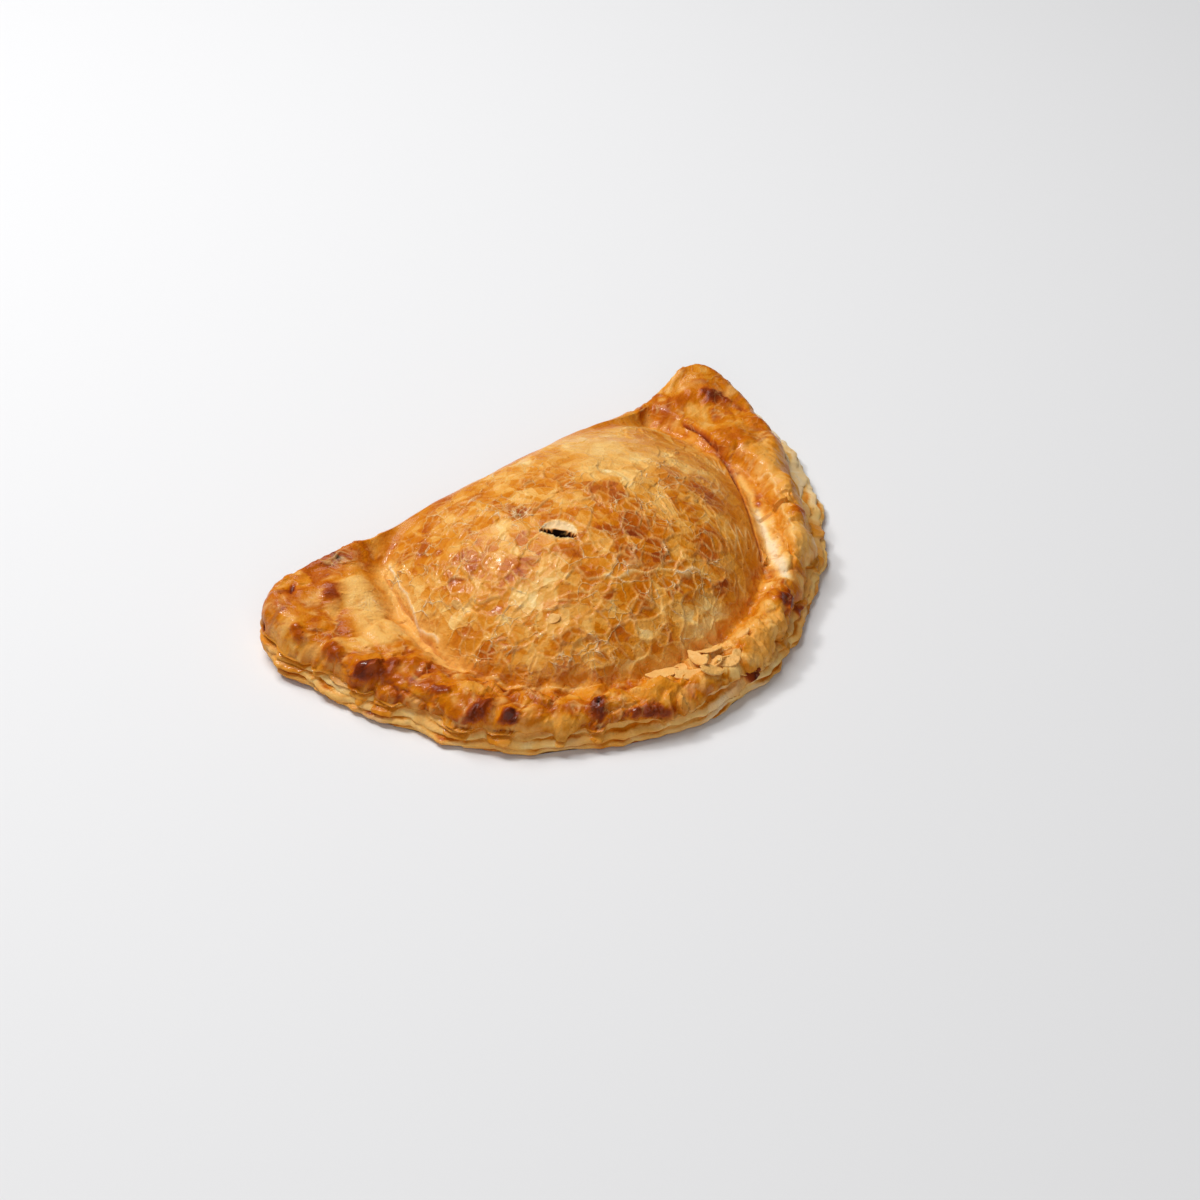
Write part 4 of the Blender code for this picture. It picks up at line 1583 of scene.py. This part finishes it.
    def _rim_sheets(self, bent: np.ndarray) -> None:
        """Cracks in the rim's pale parts, darkened with painted shade, and torn sheets with pale edges all
        round it.
        """
        rim, relief = self.zones[Zone.RIM], self.relief
        crack = hill(self.grain.contour(bent + 120, relief.crack_size), relief.crack_width) * rim
        crack = crack * ramp(self.masks["pale"], 0.10, 0.24)
        self.lift -= relief.crack * crack
        # Painted shade: the cracks are darker and lose their paleness.
        self._mark("bake", 0.66, 0.75 * crack)
        self._mark("pale", 0.0, 0.7 * crack)
        for number, (size, width) in enumerate(relief.rim_sheets):
            away = self.grain.contour(bent + 33 * (number + 1), size)
            fade = ramp(self.grain.at(self.base + 12 * (number + 2), size), -0.2, 0.3)
            edge = hill(away, width) * fade * rim
            self.lift += 0.15 * edge + 0.16 * fade * rim * ramp(away, -0.4, 0.2)
            self._mark("pale", 0.46, 0.8 * edge)
            self._mark("bake", self.masks["bake"] + 0.06, fade * rim * ramp(away, -0.3, 0.3))

    def _flakes(self) -> None:
        """Flakes of the glazed dome: tilted plates with thin raised pale edges."""
        dome = self.zones[Zone.DOME]
        some = np.flatnonzero(dome > 0.01)
        spots = self.base[some]
        shown = dome[some]
        x, y = spots[:, 0], spots[:, 1]
        calm_back = ramp(y, 38, 50)
        # Flakes are calmed under the dome's painted highlight.
        calm_highlight = 0.75 * np.exp(-(((x - 24) / 26) ** 2 + ((y - 30) / 12) ** 2))
        calm_right = ramp(x * 0.80 - y * 0.60, 22, 36)
        lively = shown * (1 - calm_back) * (1 - calm_highlight) * (1 - 0.85 * calm_right)
        glaze = GlazeMarks(*np.zeros((4, len(some))))
        glaze.lift += 0.05 * self.grain.layers(spots + 21, 2.4, 2)
        for number, sheet in enumerate(GLAZE_SHEETS):
            self._add_sheets(glaze, spots, number, sheet)
        for flake in DOME_FLAKES:
            self._add_flakes(glaze, spots, flake)
        self.lift[some] += lively * glaze.lift
        thin = 0.60 + 0.40 * self.grain.at(spots + 33, 1.4)
        self._mark_above("pale", some, 0.60 * glaze.line * thin * (0.20 + 0.80 * lively) * shown)
        self.masks["flaky"][some] = shown * (0.15 + 0.85 * lively) * (1 - 0.6 * calm_right)
        self.masks["bake"][some] += (0.25 + 0.75 * lively) * glaze.bake
        self.masks["glaze"][some] += lively * glaze.glaze
        self._flank_lines(some, calm_right * shown)

    def _add_sheets(self, marks: GlazeMarks, spots: np.ndarray, number: int, sheet: SheetPattern) -> None:
        """Adds broad sheets, whose curved edges fade in and out."""
        bent = spots + 0.12 * sheet.size * self.grain.push(spots + 3 * number, sheet.size / 2.6)
        away = self.grain.contour(bent + 50 * (number + 1), sheet.size)
        fade = ramp(self.grain.at(spots + 9 * sheet.size, 0.9 * sheet.size), -0.25, 0.20)
        edge = hill(away, sheet.width) * fade
        marks.line = np.maximum(marks.line, edge)
        marks.lift += sheet.tall * edge + sheet.step * fade * ramp(away, -0.5, 0.3)
        marks.bake += sheet.tint * np.clip(away / (0.16 * sheet.size), -1.2, 1.2)

    def _add_flakes(self, marks: GlazeMarks, spots: np.ndarray, flake: FlakePattern) -> None:
        """Adds small tilted flakes, each with its own bake and gloss."""
        bent = spots + 0.16 * flake.size * self.grain.push(spots, 0.9 * flake.size)
        bent = bent + 0.35 * self.grain.push(spots + 5, 1.6)
        net = FlakeNet.scatter(bent, flake.size, self.seed + int(10 * flake.size))
        fade = ramp(self.grain.at(spots + 3 * flake.size, 1.6 * flake.size), -0.45, 0.2)
        edge = net.lines(flake.width, flake.kept) * fade
        marks.line = np.maximum(marks.line, edge)
        marks.lift += flake.tall * edge + flake.slope * net.tilt(spots, flake.size)
        marks.bake += flake.tint * 2 * (toss(net.owner, 11.0) - 0.5) * ramp(net.edge, 0.0, 0.5)
        marks.glaze += 0.2 * (toss(net.owner, 12.0) - 0.5)

    def _flank_lines(self, rows: np.ndarray, weight: np.ndarray) -> None:
        """Long fine lines on the smooth right flank, which run along the crease."""
        spots = self.base[rows]
        run_x, run_y = 0.52, 0.85
        down = spots[:, 0] * run_x + spots[:, 1] * run_y
        over = spots[:, 0] * run_y - spots[:, 1] * run_x
        laid = np.stack((down / 5.0, over, spots[:, 2] * 0.8), axis=1)
        laid = laid + 0.5 * self.grain.push(spots, 7)
        net = FlakeNet.scatter(laid, 3.0, self.seed + 21)
        fade = ramp(self.grain.at(spots + 70, 8), -0.1, 0.5)
        line = net.lines(0.30, 0.60) * fade
        self.lift[rows] += weight * (0.16 * line + 0.10 * toss(net.owner, 2.0))
        self._mark_above("pale", rows, 0.70 * line * weight)
        self.masks["bake"][rows] += weight * 0.06 * (toss(net.owner, 6.0) - 0.5)
        self.masks["glaze"][rows] -= 0.35 * weight

    def _layers(self) -> None:
        """The drooping lip, the stacked pastry sheets under it and the flat underside."""
        edge = self.form.outline(self.along)
        down = np.clip(self.run - 1, 0, 1)
        lobe = ramp(self.grain.at(edge + 51, 8) + 0.4 * self.grain.at(edge + 57, 3.6), -0.05, 0.45)
        self._droop(edge, down, lobe)
        gap = self._sheets(edge, down)
        self._drips(down, lobe)
        ledge = self.form.ledge_share(self.along) * self.zones[Zone.SIDE]
        self.out += ledge * 0.5 * self.grain.layers(self.base + 90, 4.5, 2)
        # The ledge keeps painted shade in the gaps between its sheets.
        self._mark("bake", 0.10 + 0.16 * self.grain.layers(self.base + 12, 6, 2), ledge * (1 - 0.6 * gap))
        self._mark("pale", 0.80 + 0.3 * self.grain.layers(self.base + 22, 8, 2), ledge * (1 - 0.8 * gap))
        under = self.zones[Zone.UNDER]
        self._mark("bake", 0.50 + 0.08 * self.grain.layers(self.base, 14, 3), under)
        self._mark("glaze", 0.1, under)

    def _droop(self, edge: np.ndarray, down: np.ndarray, lobe: np.ndarray) -> None:
        """Lets the rim's lip sway in and out, and hang down in lobes.

        Args:
            edge: the place on the outline beside each vertex.
            down: share of the way down the side.
            lobe: how far the lip hangs down there.
        """
        lip = self.form.reach_at(self.along) - self.form.skirt_width(self.along)
        inset = lip * (1 - np.minimum(self.run, 1))
        skirted = ramp(self.form.skirt_width(self.along), 0.4, 2.0)
        at_lip = hill(inset, self.relief.lip_reach) * ramp(0.30 - down, 0.0, 0.22) * skirted
        sway = 1.1 * self.grain.at(edge + 3, 11) + 0.45 * self.grain.at(edge + 13, 4)
        self.out += at_lip * (sway + 0.9 * lobe)
        self.rise += at_lip * (self.grain.at(edge + 23, 15) - self.relief.droop * lobe)

    def _sheets(self, edge: np.ndarray, down: np.ndarray) -> np.ndarray:
        """Stacks the side's pastry sheets, each with its own ragged edge.

        Args:
            edge: the place on the outline beside each vertex.
            down: share of the way down the side.

        Returns:
            How much each vertex lies in a gap between two sheets, where shade is painted.
        """
        side, z, relief = self.zones[Zone.SIDE], self.base[:, 2], self.relief
        wave = 1.5 * self.grain.at(edge + 31, 24) + 0.8 * self.grain.at(edge + 37, 8)
        wave = wave + 0.3 * self.grain.at(self.base + 43, 3)
        clear = 0.30 + 0.70 * ramp(self.grain.at(edge + 71, 14), -0.35, 0.25)
        level = (z + wave) / relief.sheet_pitch
        sheet = np.floor(level)
        nose = np.sqrt(np.clip(1 - ((level - sheet - 0.5) / relief.sheet_half) ** 2, 0, 1))
        own = edge + 17 * sheet[:, None]
        stand = 1.3 * self.grain.at(own, 11) + 0.8 * self.grain.at(own + 5, 4)
        stand = stand + 0.3 * self.grain.at(own + 9, 1.8)
        ragged = stand + relief.sheet_nose * clear * (nose - 0.7)
        self.out += side * ramp(down, 0.06, 0.2) * ragged * (0.35 + 0.65 * ramp(z, 0.0, 1.2))
        gap = (1 - ramp(nose, 0.1, 0.6)) * side * clear
        # Painted shade: the gaps between sheets are darker and less pale. The side is also darker towards the
        # foot.
        bake = 0.22 + 0.16 * (toss(sheet, 3.0) - 0.5) + 0.14 * self.grain.layers(self.base + 11, 7, 3)
        bake = bake + 0.22 * np.clip(stand, -0.6, 1.2) + 0.20 * ramp(3.2 - z, 0, 2.6) + 0.26 * gap
        paler = self._paler_front()
        self._mark("bake", bake - 0.10 * paler, side)
        self._mark("glaze", 0.22 + 0.3 * ramp(2.6 - z, 0, 2), side)
        pale = (0.36 + 0.25 * paler + 0.3 * self.grain.layers(self.base + 66, 9, 2)) * (1 - gap)
        self._mark("pale", pale, 0.9 * side)
        return gap

    def _drips(self, down: np.ndarray, lobe: np.ndarray) -> None:
        """Browns the lobes of the lip that hang down over the sheets."""
        over = ramp(0.10 + 0.50 * lobe - down, -0.03, 0.05)
        drip = over * self.zones[Zone.SIDE] * (1 - 0.8 * self._paler_front())
        self.out += 0.9 * drip * lobe
        self._mark("bake", 0.40 + 0.12 * self.grain.layers(self.base + 19, 6, 2), 0.9 * drip)
        self._mark("glaze", 0.8, drip)
        self._mark("pale", 0.0, drip)

    def _paler_front(self) -> np.ndarray:
        """Where the side is paler, on the front right: 0 to 1."""
        return between(self.along, *self.relief.paler_front)

    def _strokes(self) -> None:
        """Creases, lips and strips, drawn one by one."""
        for number, stroke in enumerate(STROKES):
            spots = self.base + stroke.wander * self.grain.push(self.base + 7 * number, 5)
            away, share = self._from_path(spots[:, :2], stroke.path)
            ends = between(share, (0.0, 0.06), (0.94, 1.0))
            top_side = (self.run < 1.0) & (away < 4 * stroke.width)
            weight = hill(away, stroke.width) * ends * top_side
            self.rise += stroke.lift * weight
            if stroke.bake >= 0:
                self._mark("bake", stroke.bake, stroke.strength * weight)
                self._mark("red", 0.0, weight)
            if stroke.glaze >= 0:
                self._mark("glaze", stroke.glaze, weight)
            if stroke.dry > 0:
                self._mark("pale", stroke.dry, weight)
            if stroke.line > 0:
                self._mark_above("pale", slice(None), stroke.line * weight)

    @staticmethod
    def _from_path(spots: np.ndarray, path: tuple[tuple[float, float], ...]) -> tuple[np.ndarray, ...]:
        """Distance of each spot from a path, and the share of the path where it is nearest."""
        points = np.array(path, float)
        steps = np.linalg.norm(np.diff(points, axis=0), axis=1)
        walked = np.concatenate(([0.0], np.cumsum(steps)))
        best = np.full(len(spots), np.inf)
        share = np.zeros(len(spots))
        for k, (start, end) in enumerate(zip(points, points[1:])):
            way = (end - start) / steps[k]
            raw = (spots - start) @ way
            held = np.clip(raw, 0, steps[k])
            away = np.linalg.norm(spots - start - held[:, None] * way, axis=1)
            nearer = away < best
            best = np.where(nearer, away, best)
            share = np.where(nearer, (walked[k] + held) / walked[-1], share)
        return best, share

    def _knobs(self) -> None:
        """Burnt and pale blisters, and a near-black pit of painted shade at the -X tip's curl."""
        for number, knob in enumerate(KNOBS):
            near = (np.abs(self.base[:, 0] - knob.x) < 14) & (np.abs(self.base[:, 1] - knob.y) < 14)
            rows = np.flatnonzero(near & (self.run < 1.5))
            spots = self.base[rows]
            u, v = turned(spots, knob.x, knob.y, knob.turn)
            height = spots[np.argmin(u * u + v * v), 2]
            w = (spots[:, 2] - height) / (0.8 * knob.width)
            away = np.sqrt((u / knob.length) ** 2 + (v / knob.width) ** 2 + w * w)
            away = away + 0.40 * self.grain.layers(spots + 5 * number, 2.6, 3)
            self.lift[rows] += knob.lift * np.exp(-np.maximum(away, 0) ** 3.0)
            weight = ramp(1.16 - away, 0.0, 0.62)
            halo = 0.5 * ramp(1.9 - away, 0.0, 1.0) * (knob.bake > 0.6)
            self._mark("bake", np.maximum(self.masks["bake"][rows], 0.58), halo, rows)
            heat = knob.bake - 0.10 * np.clip(away, 0, 1) + 0.05 * self.grain.at(spots, 1.5)
            self._mark("bake", heat, weight, rows)
            self._mark("glaze", knob.glaze, weight, rows)
            self.masks["pale"][rows] *= 1 - weight

    def _vent(self) -> None:
        """The steam vent: a slit with a sloping pale far wall, a ragged near lip and near-black painted shade
        down the slit.
        """
        vent = Vent()
        u, v = turned(self.base, vent.x, vent.y, vent.turn)
        u = u / (vent.length / 2)
        rows = np.flatnonzero((np.abs(u) < 1.6) & (np.abs(v) < 6) & (self.run < 0.8))
        u, v = u[rows], v[rows]
        rag = 0.30 * self.grain.layers(self.base[rows], 1.1, 2)
        taper = np.sqrt(np.clip(1 - u * u, 0, 1))
        near_lip = -vent.near * taper + rag
        far_lip = vent.far * taper + 0.3 * rag
        brink = vent.brink * taper + 0.3 * rag
        inside = (v > near_lip) & (v < far_lip) & (taper > 0)
        slope = vent.brink_depth * (far_lip - v) / np.maximum(far_lip - brink, 0.2)
        shelf = np.clip(slope, 0, vent.brink_depth) * ramp(v - near_lip, 0, 0.3)
        fall = vent.depth * ramp(brink - v, 0.0, 0.5) * ramp(v - near_lip, 0.0, 0.35)
        self.rise[rows] -= inside * (shelf + fall) * np.minimum(taper * 2.2, 1)
        from_lip = np.minimum(np.abs(v - near_lip), np.abs(v - far_lip))
        round_lip = hill(from_lip, vent.lip_width) * (taper > 0)
        self.lift[rows] += vent.lip_height * ~inside * round_lip
        pale = np.maximum(round_lip * 0.8, inside * 0.9)
        self._mark("pale", 0.80, pale, rows)
        self._mark("bake", 0.14, pale, rows)
        # Painted shade: the slit below the brink is near black.
        dark = inside * ramp(brink + 0.5 - v, 0.0, 0.3) * ramp(v - near_lip, -0.1, 0.25)
        self._mark("bake", 1.0, dark, rows)
        self.masks["pale"][rows] *= 1 - dark
        self._mark("glaze", 0.2, inside, rows)

    def _settle(self) -> None:
        """Moves the skin out by its relief, keeps it on the plate and measures directions anew."""
        foot = ramp(self.base[:, 2], 0.0, 1.6)
        self.lift *= foot
        self.places = self.base + self.normals * self.lift[:, None]
        self.places[:, 2] += self.rise * foot
        angle = self.form.angle_at(self.along)
        self.places[:, 0] += self.out * np.cos(angle)
        self.places[:, 1] += self.out * np.sin(angle)
        self.places[:, 2] = np.maximum(self.places[:, 2], 0.0)
        self.normals = vertex_normals(self.places, self.faces)
        for mask in ("bake", "glaze", "pale"):
            np.clip(self.masks[mask], 0, 1, out=self.masks[mask])


# ---------------------------------------------------------------------------------------------
# Studio
# ---------------------------------------------------------------------------------------------


@dataclass(frozen=True)
class Lamp:
    """A square studio lamp aimed at the pasty, in metres and watts."""

    name: str
    place: tuple[float, float, float]
    side: float
    power: float


@dataclass
class Studio:
    """Floor, soft light and camera."""

    eye: tuple[float, float, float] = (-454.6, -474.8, 494.57)   # millimetres
    ahead: tuple[float, float, float] = (0.546, 0.5828, -0.6018)
    lens: float = 85.0           # millimetres, on a frame 36 mm wide
    frame_width: float = 36.0
    nearest: float = 0.01        # metres
    floor_size: float = 8.0      # metres
    floor_gap: float = 0.0002    # metres below the pasty
    daylight: float = 0.10
    lamps: tuple[Lamp, ...] = (
        Lamp("key", (-0.05, 0.60, 1.15), 0.8, 13.6),
        Lamp("window", (-0.30, 0.75, 1.0), 0.14, 4.2),
        Lamp("fill", (-0.75, -0.85, 0.9), 0.9, 5.2),
    )

    def build(self) -> None:
        """Builds the studio round the finished pieces."""
        self._floor()
        self._light()
        self._camera()

    def _floor(self) -> None:
        """A wide pale floor under the pasty."""
        deselect()
        bpy.ops.mesh.primitive_plane_add(size=self.floor_size, location=(0, 0, -self.floor_gap))
        floor = bpy.context.object
        floor.name = "floor"
        floor.data.materials.append(FloorFinish().build())

    def _light(self) -> None:
        """Even daylight and the lamps."""
        world = bpy.data.worlds.new("studio")
        bpy.context.scene.world = world
        world.use_nodes = True
        sky = world.node_tree.nodes["Background"]
        sky.inputs["Color"].default_value = (1.0, 1.0, 1.0, 1.0)
        sky.inputs["Strength"].default_value = self.daylight
        for lamp in self.lamps:
            light = bpy.data.lights.new(lamp.name, "AREA")
            light.size = lamp.side
            light.energy = lamp.power
            place = Vector(lamp.place)
            self._hang(light, place, -place)

    def _camera(self) -> None:
        """The camera, looking down on the pasty from the front left."""
        eye = bpy.data.cameras.new("camera")
        eye.lens = self.lens
        eye.sensor_width = self.frame_width
        eye.clip_start = self.nearest
        bpy.context.scene.camera = self._hang(eye, Vector(self.eye) * MM, Vector(self.ahead))
        bpy.context.scene.view_settings.view_transform = "Standard"

    @staticmethod
    def _hang(data: bpy.types.ID, place: Vector, ahead: Vector) -> bpy.types.Object:
        """Hangs a lamp or a camera at a place, facing a direction, and gives its object."""
        holder = bpy.data.objects.new(data.name, data)
        bpy.context.scene.collection.objects.link(holder)
        holder.location = place
        holder.rotation_euler = ahead.to_track_quat("-Z", "Y").to_euler()
        return holder


def hand_over(pieces: list[bpy.types.Object]) -> None:
    """Ties finished pieces to the CAD solid that they stand for."""
    for piece in pieces:
        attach(piece, BODY)
        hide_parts(SOLID)
        LOG.info("%s: %d faces", piece.name, len(piece.data.polygons))


def main() -> None:
    """Builds the crust and its crumbs, then the studio."""
    logging.basicConfig(level=logging.INFO, format="%(name)s: %(message)s")
    effects = Effects()
    crust = Crust(PastyForm())
    hand_over(crust.build(CrustFinish().build(effects)))
    hand_over([Chips(crust).build(ChipFinish().build(effects))])
    Studio().build()


if __name__ == "__main__":
    main()
